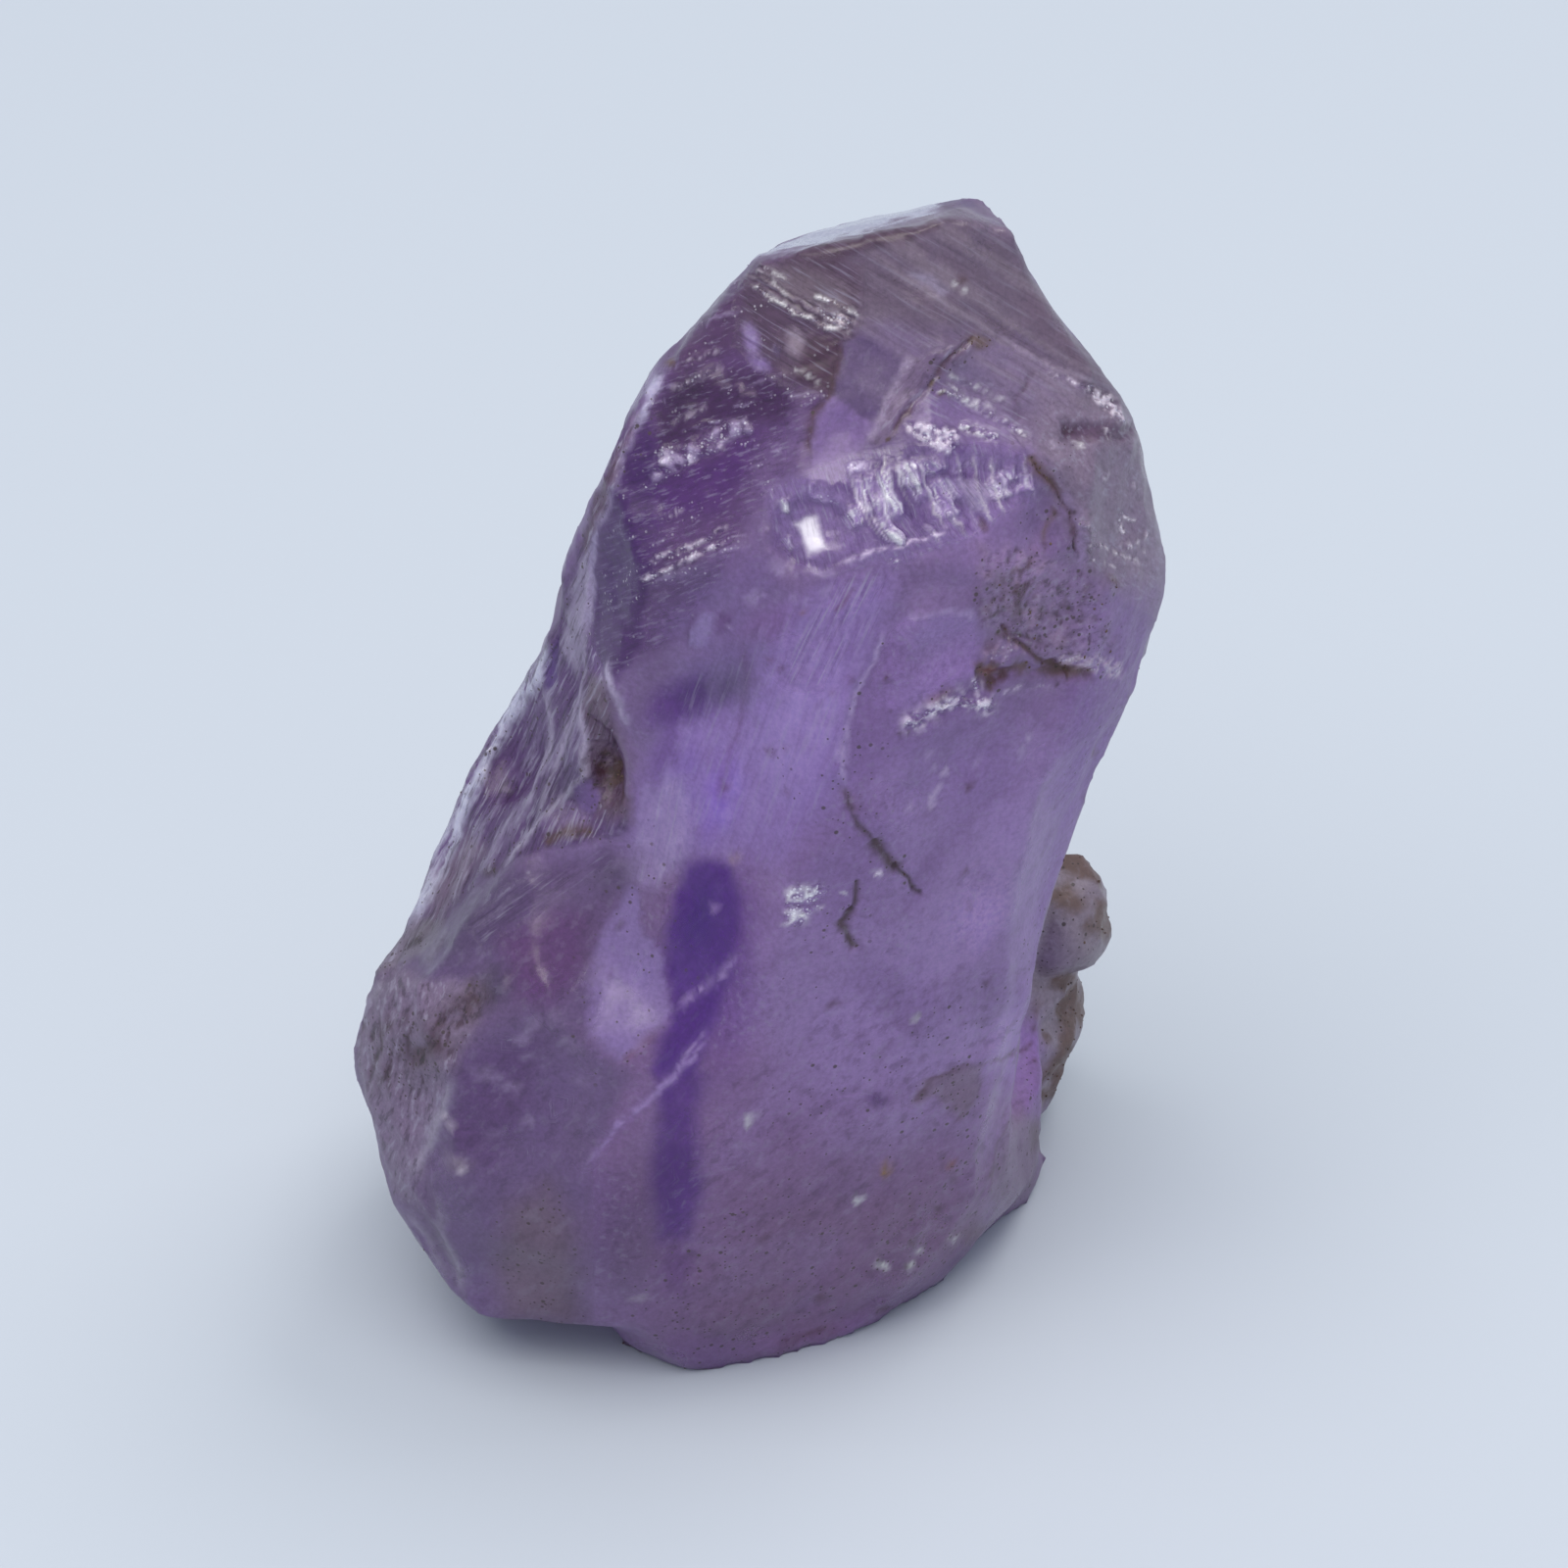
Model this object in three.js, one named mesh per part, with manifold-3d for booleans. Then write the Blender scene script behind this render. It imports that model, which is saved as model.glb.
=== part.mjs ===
// A rough ametrine: one broken piece of violet and smoky quartz, standing on a flat fracture face.
// Millimetres, +Z up. The origin is in the middle of the face that the stone stands on. Its front
// looks towards -Y and its tip leans towards +X.
import * as THREE from 'three';
import { ImprovedNoise } from 'three/addons/math/ImprovedNoise.js';
import { mergeVertices } from 'three/addons/utils/BufferGeometryUtils.js';
import Module from 'manifold-3d';

const wasm = await Module();
wasm.setup();

// The stone is laid out as an eye sees it from SIGHT above the table: across (to the right),
// up (square to the line of sight) and back (level, away from the front of the base).
const SIGHT = THREE.MathUtils.degToRad(36);
const EYE_DISTANCE = 280;
const MIDDLE = [2.54, 15.24];
const PLANE_OUT = 6.5;

// The middle of the face that the stone stands on: [across, back].
const FOOT_MIDDLE = [2.4, 6.8];

// The long edges of the stone, from below the table to above the tip. Each knot is [up, across, back].
const leftSide = [
  [-2.0, -1.2, 0.4], [0.2, -3.0, 0.2], [1.3, -5.2, -0.4], [3.1, -6.8, 0.8], [4.7, -7.7, 1.8],
  [7.0, -8.35, 2.8], [8.6, -8.6, 3.4], [10.3, -8.05, 4.2], [12.1, -7.0, 4.8], [13.8, -6.4, 5.0],
  [16.4, -5.1, 5.2], [18.8, -3.6, 5.2], [20.5, -3.3, 5.0], [22.1, -2.7, 4.8], [24.8, -1.45, 4.9],
  [26.5, -0.45, 5.2], [27.9, 0.75, 5.4], [29.2, 2.05, 5.8], [31.5, 4.0, 6.0],
];
const leftRidge = [
  [-2.0, -0.8, 0.0], [0.5, -1.8, -0.6], [3.0, -4.4, -1.2], [5.0, -6.0, -0.9], [8.0, -6.7, -0.5],
  [10.2, -6.9, 0.8], [11.6, -6.2, 1.7], [12.8, -4.9, 1.7], [13.6, -3.3, 1.3], [14.6, -1.9, 1.2],
  [16.2, -1.6, 1.5], [18.0, -2.1, 1.7], [21.3, -2.9, 2.3], [24.0, -1.5, 2.9], [27.5, 1.2, 3.7],
  [29.2, 2.6, 4.1], [31.5, 4.4, 4.8],
];
const frontCrest = [
  [-2.0, 0.5, 0.6], [0.0, 0.4, 0.0], [2.0, 1.0, -0.9], [6.0, 1.8, -1.6], [12.0, 3.0, -1.5],
  [18.0, 4.4, -0.8], [21.6, 5.2, 0.0], [26.0, 6.4, 2.3], [29.0, 6.9, 3.7], [31.5, 7.0, 4.7],
];
const rightRidge = [
  [-2.0, 1.6, 1.4], [0.6, 3.4, 0.8], [2.6, 6.0, 1.7], [5.0, 7.6, 2.0], [9.0, 8.1, 1.4],
  [14.0, 8.8, 1.2], [19.0, 10.6, 1.6], [22.0, 11.1, 2.3], [25.0, 10.4, 3.4], [28.5, 8.4, 4.3],
  [31.5, 7.6, 5.0],
];
const rightSide = [
  [-2.0, 2.4, 2.4], [0.1, 2.4, 1.2], [0.8, 4.0, 1.6], [1.5, 5.9, 2.8], [3.2, 7.7, 5.6], [4.7, 9.05, 7.6],
  [5.8, 9.3, 8.4], [7.1, 9.2, 8.6], [8.6, 9.4, 8.0], [10.2, 9.65, 7.2], [13.2, 10.1, 6.4],
  [15.8, 10.8, 6.0], [17.3, 11.5, 5.8], [19.8, 12.2, 5.6], [21.0, 12.35, 5.6], [22.2, 12.2, 5.5],
  [24.7, 11.6, 5.4], [27.2, 9.85, 5.4], [28.8, 8.85, 5.6], [30.1, 8.3, 5.9], [31.5, 8.0, 6.1],
];
const backRight = [
  [-2.0, 4.0, 6.0], [7.2, 8.6, 12.3], [12.0, 9.0, 11.4], [17.0, 9.7, 10.2], [22.0, 10.4, 9.3],
  [26.0, 9.4, 8.4], [29.4, 8.1, 7.6], [31.5, 7.6, 7.4],
];
const backCrest = [
  [-2.0, 2.0, 8.0], [8.9, 3.0, 15.4], [13.0, 3.4, 14.2], [18.0, 3.9, 12.4], [23.0, 4.4, 10.6],
  [27.0, 5.0, 9.4], [29.8, 6.0, 8.6], [31.5, 6.4, 8.2],
];
const backLeft = [
  [-2.0, -1.0, 6.0], [6.0, -4.8, 10.8], [10.0, -5.8, 10.6], [14.0, -5.0, 10.2], [19.0, -2.9, 9.4],
  [24.0, -0.7, 8.6], [28.0, 1.8, 8.0], [31.5, 4.6, 7.8],
];
const LONG_EDGES = [leftSide, leftRidge, frontCrest, rightRidge, rightSide, backRight, backCrest, backLeft];
const ROWS = 31;
const STEPS_PER_SIDE = 5;
const ROUNDNESS = 0.7;
const ROUGHNESS = 0.14;
const ROUGH_SPACING = 1.9;

// Flat cuts along the outline. Each runs on through two of its places, shows as a narrow strip, and
// reaches only so far to either side of the first place.
const OUTLINE_CUTS = {
  topEdge: { from: [2.05, 29.2], to: [7.0, 30.35], back: 7.6, strip: 0.17, reach: [-20, 20] },
  tipShoulder: { from: [7.0, 30.35], to: [8.3, 30.0], back: 6.6, strip: 0.35, reach: [-20, 20] },
  underLobe: { from: [-2.03, 1.12], to: [-5.4, 1.4], back: -0.6, strip: -0.05, reach: [-0.35, 20] },
  frontFoot: { from: [0.2, -0.05], to: [-2.03, 1.12], back: 0.2, strip: 0.1, reach: [0, 2.8] },
};

// Shell-like faces broken out of the front. Each is placed by the spot [across, up] that it is centred
// on, with half its length and width where the stone is level, how deep it bites, and how its length
// turns from level. Broad ones meet each other in sharp ridges.
const FRONT_FACES = {
  violetSlope: { at: [0.2, 23.8], long: 8.5, wide: 4.6, bite: 0.55, turn: 57 },
  smokySlope: { at: [9.3, 26.6], long: 6.5, wide: 3.4, bite: 0.5, turn: -52 },
  topSlope: { at: [4.4, 27.6], long: 5.5, wide: 3.4, bite: 0.4, turn: 12 },
  rightShoulder: { at: [11.2, 22.6], long: 5.0, wide: 3.2, bite: 0.4, turn: 86 },
  rightMiddle: { at: [9.6, 19.6], long: 4.0, wide: 3.2, bite: 0.35, turn: 30 },
  rightHollow: { at: [7.9, 14.6], long: 6.2, wide: 3.6, bite: 0.36, turn: 80 },
  brightFlute: { at: [1.3, 17.0], long: 4.8, wide: 2.7, bite: 0.24, turn: 80 },
  leftEdge: { at: [-3.2, 20.6], long: 4.2, wide: 1.2, bite: 0.3, turn: 76 },
  leftWall: { at: [-4.2, 16.4], long: 5.2, wide: 2.4, bite: 0.5, turn: 65 },
  lilacPatch: { at: [-1.1, 10.9], long: 3.2, wide: 1.7, bite: 0.22, turn: 74 },
  lobeValley: { at: [-1.2, 6.6], long: 5.8, wide: 1.9, bite: 0.15, turn: 80 },
  lobeFace: { at: [-4.3, 7.2], long: 6.2, wide: 2.8, bite: 0.35, turn: 98 },
  matteLobeSide: { at: [-7.0, 7.0], long: 4.6, wide: 2.2, bite: 0.4, turn: 107 },
  lobeStrip: { at: [-6.7, 3.4], long: 3.4, wide: 0.9, bite: 0.2, turn: 124 },
  lobeFoot: { at: [-4.0, 2.2], long: 5.0, wide: 2.4, bite: 0.22, turn: -20 },
  lowerFront: { at: [3.4, 7.2], long: 9.0, wide: 5.6, bite: 0.16, turn: 74 },
  bulgeArc: { at: [8.3, 6.2], long: 4.2, wide: 1.9, bite: 0.3, turn: 66 },
  bulgeFoot: { at: [7.9, 3.4], long: 3.6, wide: 1.8, bite: 0.25, turn: 44 },
  lowEdge: { at: [3.2, 1.2], long: 5.0, wide: 1.6, bite: 0.25, turn: 8 },
};

// Small breaks on the front: steps, grooves, cracks and pockets.
const FRONT_BREAKS = {
  lilacFacet: { at: [3.9, 24.1], long: 1.7, wide: 0.9, bite: 0.45, turn: 68 },
  facetAbove: { at: [4.9, 25.9], long: 1.3, wide: 0.8, bite: 0.3, turn: 60 },
  dirtyGroove: { at: [6.2, 25.3], long: 1.9, wide: 0.26, bite: 0.35, turn: 51 },
  ledgeByGroove: { at: [7.9, 25.0], long: 2.0, wide: 1.2, bite: 0.4, turn: -30 },
  archCrack: { at: [9.5, 22.1], long: 1.8, wide: 1.0, bite: 0.4, turn: 78 },
  brightShoulder: { at: [10.8, 25.1], long: 1.3, wide: 0.7, bite: 0.3, turn: -35 },
  shoulderRecess: { at: [10.4, 24.2], long: 1.0, wide: 0.3, bite: 0.4, turn: 0 },
  crevice: { at: [9.5, 18.1], long: 2.0, wide: 0.3, bite: 0.55, turn: 2 },
  creviceLip: { at: [7.4, 17.5], long: 1.9, wide: 0.35, bite: 0.3, turn: 14 },
  archFacet: { at: [6.9, 18.8], long: 1.5, wide: 1.1, bite: 0.25, turn: 10 },
  upperCrack: { at: [4.95, 13.6], long: 1.5, wide: 0.17, bite: 0.25, turn: -48 },
  lowerCrack: { at: [4.4, 11.9], long: 1.0, wide: 0.16, bite: 0.25, turn: 80 },
  dirtyPocket: { at: [-2.1, 15.8], long: 1.5, wide: 0.7, bite: 0.7, turn: 105 },
  pocketFacet: { at: [-2.7, 14.5], long: 1.2, wide: 0.7, bite: 0.4, turn: 20 },
  bulgeChip: { at: [8.3, 6.9], long: 1.6, wide: 0.6, bite: 0.25, turn: 62 },
  lobeChip: { at: [-5.6, 6.4], long: 1.6, wide: 0.6, bite: 0.25, turn: 120 },
};

// The band of small crescents below the tip, from left to right, each a narrow curved hollow. They
// stray from the line and differ in size and turn by these amounts.
const CRESCENTS = 11;
const CRESCENT_START = [2.7, 22.0];
const CRESCENT_STEP = [0.6, 0.13];
const CRESCENT_STRAY = 0.7;
const CRESCENT = { long: 1.3, wide: 0.5, bite: 0.3, turn: 96, fan: 30 };

// Faces of the sides and the back. Each is placed by its compass angle (0 is +X, 90 is +Y), seen from
// outside, and its height on the stone.
const AXIS = [2.6, 6.4];
const BACK_FACES = [
  { angle: 96, height: 22, long: 9.0, wide: 5.6, bite: 0.9, turn: 82 },
  { angle: 70, height: 11, long: 8.0, wide: 5.4, bite: 0.9, turn: 68 },
  { angle: 118, height: 11, long: 7.5, wide: 4.6, bite: 0.8, turn: 104 },
  { angle: 150, height: 5, long: 6.0, wide: 4.4, bite: 0.7, turn: 10 },
  { angle: 146, height: 17, long: 7.0, wide: 3.8, bite: 0.7, turn: 75 },
  { angle: 40, height: 18, long: 7.0, wide: 3.8, bite: 0.7, turn: 88 },
  { angle: 14, height: 24, long: 6.0, wide: 3.4, bite: 0.5, turn: 108 },
  { angle: 2, height: 16, long: 6.0, wide: 3.6, bite: 0.5, turn: 84 },
  { angle: 168, height: 23, long: 6.5, wide: 3.4, bite: 0.5, turn: 68 },
  { angle: 60, height: 27, long: 5.0, wide: 3.4, bite: 0.6, turn: 30 },
  { angle: 110, height: 29, long: 4.6, wide: 3.4, bite: 0.6, turn: 15 },
  { angle: 98, height: 3, long: 6.0, wide: 3.2, bite: 0.6, turn: -4 },
  { angle: 184, height: 9, long: 5.0, wide: 3.6, bite: 0.5, turn: 60 },
  { angle: 350, height: 8, long: 5.4, wide: 3.2, bite: 0.4, turn: 95 },
  { angle: 20, height: 6, long: 4.4, wide: 3.4, bite: 0.4, turn: 40 },
];

// Small faces that square off the knob at the back right.
const KNOB_FACES = [
  { angle: 44, height: 8.4, long: 1.2, wide: 0.9, bite: 0.15, turn: 20 },
  { angle: 24, height: 7.0, long: 1.2, wide: 0.9, bite: 0.12, turn: 80 },
  { angle: 42, height: 4.6, long: 1.4, wide: 1.0, bite: 0.15, turn: 110 },
  { angle: 24, height: 2.6, long: 1.2, wide: 0.9, bite: 0.15, turn: 30 },
];

// Small chips scattered over the sides and the back.
const CHIPS = 9;
const CHIP_ANGLES = [20, 185];
const CHIP_HEIGHTS = [3, 30];
const CHIP = { long: 1.5, wide: 0.7, bite: 0.25 };

// The knob grown on the back right of the foot, and the small one behind the tip, as lumps
// placed by [across, up, back] with their half sizes.
const LUMPS = [
  { at: [9.55, 12.0, 10.9], half: [1.65, 1.9, 1.75], spin: 0.2 },
  { at: [8.6, 9.6, 11.2], half: [1.85, 2.6, 2.9], spin: 1.7 },
  { at: [7.9, 8.1, 11.2], half: [2.0, 1.8, 2.6], spin: 2.6 },
  { at: [6.95, 30.0, 7.8], half: [0.6, 0.6, 0.55], spin: 0.5 },
];

// The eye, and the plane through the middle of the stone on which across and up are measured.
const ACROSS = new THREE.Vector3(1, 0, 0);
const UP = new THREE.Vector3(0, Math.sin(SIGHT), Math.cos(SIGHT));
const TOWARDS_EYE = new THREE.Vector3(0, -Math.cos(SIGHT), Math.sin(SIGHT));
const onPlane = (across, up) => new THREE.Vector3()
  .addScaledVector(ACROSS, across)
  .addScaledVector(UP, up)
  .addScaledVector(TOWARDS_EYE, PLANE_OUT);
const EYE = onPlane(...MIDDLE).addScaledVector(TOWARDS_EYE, EYE_DISTANCE);
const sightLine = (across, up) => onPlane(across, up).sub(EYE);

// A point of the stone from its place across and up as seen, and its level distance back.
function seen(across, up, back) {
  const line = sightLine(across, up);
  return EYE.clone().addScaledVector(line, (back - EYE.y) / line.y);
}

// The table's height: the front of the base is seen at up = 0 with back = 0.
const TABLE = seen(0, 0, 0).z;

// The place of a long edge at one row: [across, back], on a smooth line through its knots.
function edgeAt(edge, up) {
  let k = 1;
  while (k < edge.length - 1 && edge[k][0] < up) k += 1;
  const span = edge[k][0] - edge[k - 1][0];
  const t = (up - edge[k - 1][0]) / span;
  const slope = (knot, axis) => {
    const before = edge[Math.max(knot - 1, 0)];
    const after = edge[Math.min(knot + 1, edge.length - 1)];
    return (span * (after[axis] - before[axis])) / (after[0] - before[0]);
  };
  return [1, 2].map((axis) => {
    const [start, end] = [edge[k - 1][axis], edge[k][axis]];
    const bend = slope(k - 1, axis) * t * (1 - t) ** 2 - slope(k, axis) * t * t * (1 - t);
    return start + (end - start) * t * t * (3 - 2 * t) + bend;
  });
}

// One row of the body: a closed loop through the long edges, part straight and part rounded.
function rowLoop(up) {
  const corners = LONG_EDGES.map((edge) => new THREE.Vector3(...edgeAt(edge, up), 0));
  const curve = new THREE.CatmullRomCurve3(corners, true, 'centripetal');
  const loop = [];
  corners.forEach((corner, side) => {
    const next = corners[(side + 1) % corners.length];
    for (let step = 0; step < STEPS_PER_SIDE; step += 1) {
      const t = step / STEPS_PER_SIDE;
      const straight = corner.clone().lerp(next, t);
      const place = straight.lerp(curve.getPoint((side + t) / corners.length), ROUNDNESS);
      loop.push(seen(place.x, up, place.y));
    }
  });
  return loop;
}

// Moves a point in or out a little, so that no face is perfectly smooth.
const noise = new ImprovedNoise();
function roughen(point, outwards) {
  const at = point.clone().divideScalar(ROUGH_SPACING);
  const wave = noise.noise(at.x, at.y, at.z) + 0.5 * noise.noise(2 * at.x + 7, 2 * at.y, 2 * at.z);
  return point.addScaledVector(outwards, ROUGHNESS * wave);
}

// The body: rows joined by triangles and closed at both ends.
function bodyGeometry() {
  const first = frontCrest[0][0];
  const last = frontCrest.at(-1)[0];
  const loops = [];
  for (let row = 0; row <= ROWS; row += 1) {
    const loop = rowLoop(THREE.MathUtils.lerp(first, last, row / ROWS));
    const centre = middleOf(loop);
    loops.push(loop.map((point) => roughen(point, point.clone().sub(centre).normalize())));
  }
  const around = loops[0].length;
  const points = [...loops.flat(), middleOf(loops[0]), middleOf(loops.at(-1))];
  const index = [];
  for (let k = 0; k < around; k += 1) {
    const next = (k + 1) % around;
    for (let row = 0; row < ROWS; row += 1) {
      const [a, b] = [row * around + k, row * around + next];
      index.push(a, b, b + around, a, b + around, a + around);
    }
    index.push(points.length - 2, next, k);
    index.push(points.length - 1, ROWS * around + k, ROWS * around + next);
  }
  return new THREE.BufferGeometry().setFromPoints(points).setIndex(index);
}

function middleOf(loop) {
  return loop.reduce((sum, point) => sum.add(point), new THREE.Vector3()).divideScalar(loop.length);
}

function toSolid(geometry) {
  const bare = geometry.clone();
  bare.deleteAttribute('normal');
  bare.deleteAttribute('uv');
  const merged = mergeVertices(bare, 1e-4);
  return new wasm.Manifold(new wasm.Mesh({
    numProp: 3,
    vertProperties: new Float32Array(merged.attributes.position.array),
    triVerts: new Uint32Array(merged.index.array),
  }));
}

function toGeometry(solid) {
  const mesh = solid.getMesh();
  const geometry = new THREE.BufferGeometry();
  geometry.setAttribute('position', new THREE.BufferAttribute(mesh.vertProperties, 3));
  geometry.setIndex(new THREE.BufferAttribute(mesh.triVerts, 1));
  return geometry;
}

function lump({ at, half, spin }) {
  const ball = new THREE.IcosahedronGeometry(1, 1).rotateX(spin).rotateZ(2 * spin).scale(...half);
  const centre = seen(...at);
  return toSolid(ball.translate(centre.x, centre.y, centre.z));
}

// The stone before anything is broken off it.
const body = toSolid(bodyGeometry());
const lumps = LUMPS.map(lump);
const together = lumps.reduce((solid, piece) => solid.add(piece), body);
const uncutSurface = new THREE.Mesh(toGeometry(together), new THREE.MeshBasicMaterial());

// The first place where a line meets the uncut stone, and the way that the stone looks there.
function spotAlong(from, direction) {
  const [hit] = new THREE.Raycaster(from, direction.normalize()).intersectObject(uncutSurface);
  return { point: hit.point, outwards: hit.face.normal.clone() };
}
const frontSpot = (across, up) => spotAlong(EYE, sightLine(across, up));
function sideSpot(angle, height) {
  const turn = THREE.MathUtils.degToRad(angle);
  const inwards = new THREE.Vector3(-Math.cos(turn), -Math.sin(turn), 0);
  const start = new THREE.Vector3(AXIS[0], AXIS[1], height + TABLE).addScaledVector(inwards, -60);
  return spotAlong(start, inwards);
}

// A face is cut by a round plug with a bowl-shaped end, whose lowest point lies bite below the stone.
// The bowl rises to the uncut level at ring 1 and goes on outwards, to clear a stone that curves up.
const RINGS = [0.4, 0.75, 1.05, 1.4, 2.0];
const PLUG_HEIGHT = 12;
const BROAD = 2.5;
function faceCutter({ point, outwards }, { long, wide, bite, turn }) {
  const level = outwards.z > 0.95 ? ACROSS : new THREE.Vector3(-outwards.y, outwards.x, 0).normalize();
  const angle = THREE.MathUtils.degToRad(turn);
  const lengthwise = level.clone().applyAxisAngle(outwards, angle);
  const sideways = outwards.clone().cross(lengthwise);
  const bowl = RINGS.map((ring) => new THREE.Vector2(ring, bite * (ring * ring - 1)));
  const rim = RINGS.at(-1);
  const profile = [new THREE.Vector2(0, -bite), ...bowl];
  profile.push(new THREE.Vector2(rim, PLUG_HEIGHT), new THREE.Vector2(0, PLUG_HEIGHT));
  const plug = new THREE.LatheGeometry(profile, long > BROAD ? 18 : 10).scale(wide, 1, long);
  plug.applyMatrix4(new THREE.Matrix4().makeBasis(sideways, outwards, lengthwise));
  return toSolid(plug.translate(point.x, point.y, point.z));
}

// A block whose flat face runs along the outline through two places. Above the middle of the stone the
// block lies above that line, and below the middle it lies under it.
function outlineCutter({ from, to, back, strip, reach }) {
  const start = seen(...from, back);
  const along = seen(...to, back).sub(start).normalize();
  const outwards = UP.clone().multiplyScalar(Math.sign(from[1] - MIDDLE[1])).addScaledVector(TOWARDS_EYE, strip);
  outwards.addScaledVector(along, -outwards.dot(along)).normalize();
  const [near, far] = reach;
  const block = new THREE.BoxGeometry(far - near, 40, 20).translate((near + far) / 2, 0, 10);
  block.applyMatrix4(new THREE.Matrix4().makeBasis(along, outwards.clone().cross(along), outwards));
  return toSolid(block.translate(start.x, start.y, start.z));
}

// The k-th of a run of numbers from 0 to 1 that never come close to repeating.
const scattered = (k) => (k * (Math.sqrt(5) - 1) / 2) % 1;

function crescentCutters() {
  return Array.from({ length: CRESCENTS }, (_, k) => {
    const across = CRESCENT_START[0] + k * CRESCENT_STEP[0];
    const up = CRESCENT_START[1] + k * CRESCENT_STEP[1] + CRESCENT_STRAY * (scattered(k) - 0.5);
    const size = 0.75 + 0.6 * scattered(3 * k + 1);
    return faceCutter(frontSpot(across, up), {
      long: CRESCENT.long * size,
      wide: CRESCENT.wide * size,
      bite: CRESCENT.bite * size,
      turn: CRESCENT.turn + CRESCENT.fan * scattered(5 * k),
    });
  });
}

function chipCutters() {
  return Array.from({ length: CHIPS }, (_, k) => {
    const angle = THREE.MathUtils.lerp(...CHIP_ANGLES, scattered(k));
    const height = THREE.MathUtils.lerp(...CHIP_HEIGHTS, (k + 0.5) / CHIPS);
    const size = 0.7 + 0.6 * scattered(3 * k);
    return faceCutter(sideSpot(angle, height), {
      long: CHIP.long * size,
      wide: CHIP.wide * size,
      bite: CHIP.bite * size,
      turn: 180 * scattered(5 * k),
    });
  });
}

const frontCutters = (faces) => Object.values(faces).map((face) => faceCutter(frontSpot(...face.at), face));
const sideCutters = (faces) => faces.map((face) => faceCutter(sideSpot(face.angle, face.height), face));

function stoneSolid() {
  const broad = [...frontCutters(FRONT_FACES), ...sideCutters(BACK_FACES)];
  const withLumps = lumps.reduce((solid, piece) => solid.add(piece), cutAll(body, broad));
  return cutAll(withLumps, [
    ...frontCutters(FRONT_BREAKS),
    ...sideCutters(KNOB_FACES),
    ...crescentCutters(),
    ...chipCutters(),
    ...Object.values(OUTLINE_CUTS).map(outlineCutter),
    toSolid(new THREE.BoxGeometry(80, 80, 40).translate(0, 0, TABLE - 20)),
  ]);
}

function cutAll(start, cutters) {
  return cutters.reduce((solid, cutter) => solid.subtract(cutter), start);
}

const group = new THREE.Group();
const stone = new THREE.Mesh(
  toGeometry(stoneSolid()).translate(-FOOT_MIDDLE[0], -FOOT_MIDDLE[1], -TABLE),
  new THREE.MeshStandardMaterial({ color: 0x8a6ba8, roughness: 0.3, metalness: 0 }),
);
stone.name = 'ametrine_stone';
group.add(stone);
export default group;
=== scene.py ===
"""A rough ametrine: one broken piece of violet and smoky quartz, standing on a pale table."""
import math
from contextlib import contextmanager

import bmesh
import bpy
import numpy as np
from mathutils import Matrix, Vector


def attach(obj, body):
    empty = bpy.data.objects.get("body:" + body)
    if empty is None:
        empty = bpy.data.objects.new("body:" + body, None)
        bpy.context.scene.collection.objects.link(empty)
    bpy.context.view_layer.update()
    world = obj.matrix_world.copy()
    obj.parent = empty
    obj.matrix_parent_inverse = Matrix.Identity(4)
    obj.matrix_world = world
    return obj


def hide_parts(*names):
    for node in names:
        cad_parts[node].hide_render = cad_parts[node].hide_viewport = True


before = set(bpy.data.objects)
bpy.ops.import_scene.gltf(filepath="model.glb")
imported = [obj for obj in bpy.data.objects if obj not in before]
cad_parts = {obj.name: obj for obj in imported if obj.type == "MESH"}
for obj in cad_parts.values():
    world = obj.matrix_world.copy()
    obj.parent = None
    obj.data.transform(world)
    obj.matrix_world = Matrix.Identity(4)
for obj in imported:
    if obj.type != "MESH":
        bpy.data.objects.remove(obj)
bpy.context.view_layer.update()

MM = 0.001
STONE = "ametrine_stone"

# The stone is laid out as it is in its source: an eye looks from SIGHT above the table, and places on
# the front are given across (to the right) and up (square to the line of sight), in millimetres.
SIGHT = math.radians(36)
EYE_DISTANCE = 280.0
MIDDLE = (2.54, 15.24)
PLANE_OUT = 6.5
FOOT_MIDDLE = (2.4, 6.8)
ACROSS = np.array([1.0, 0.0, 0.0])
UP = np.array([0.0, math.sin(SIGHT), math.cos(SIGHT)])
OUT = np.array([0.0, -math.cos(SIGHT), math.sin(SIGHT)])
EYE = MIDDLE[0] * ACROSS + MIDDLE[1] * UP + (PLANE_OUT + EYE_DISTANCE) * OUT


def table_height():
    """The table's height in the layout, where the front of the foot is seen at (0, 0)."""
    line = PLANE_OUT * OUT - EYE
    return EYE[2] - line[2] * EYE[1] / line[1]


# The layout's place of the row's origin
ORIGIN = np.array([FOOT_MIDDLE[0], FOOT_MIDDLE[1], table_height()])


def linear(red, green, blue):
    """A colour given from 0 to 255, in the shader's own linear numbers."""
    parts = np.array([red, green, blue]) / 255
    return np.where(parts <= 0.04045, parts / 12.92, ((parts + 0.055) / 1.055) ** 2.4)


# How much of the stone's own colour comes back in this light, and what the bright room adds to it
RETURN = np.array([0.56, 0.59, 0.58])
SHEEN = np.array([0.024, 0.036, 0.036])


def tone(red, green, blue):
    """The stone's own colour for a colour as it looks in the light, from 0 to 255."""
    return np.clip((linear(red, green, blue) - SHEEN) / RETURN, 0.004, 0.96)


def ease(t):
    """A rise from 0 to 1 that starts and ends level."""
    return t * t * (3 - 2 * t)


def gentle_ease(t):
    """The same with softer starts and ends, for relief that shows no lattice."""
    return t ** 3 * (t * (t * 6 - 15) + 10)


def climb(value, start, end):
    """A smooth rise from 0 at start to 1 at end."""
    return ease(np.clip((value - start) / (end - start), 0, 1))


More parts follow.
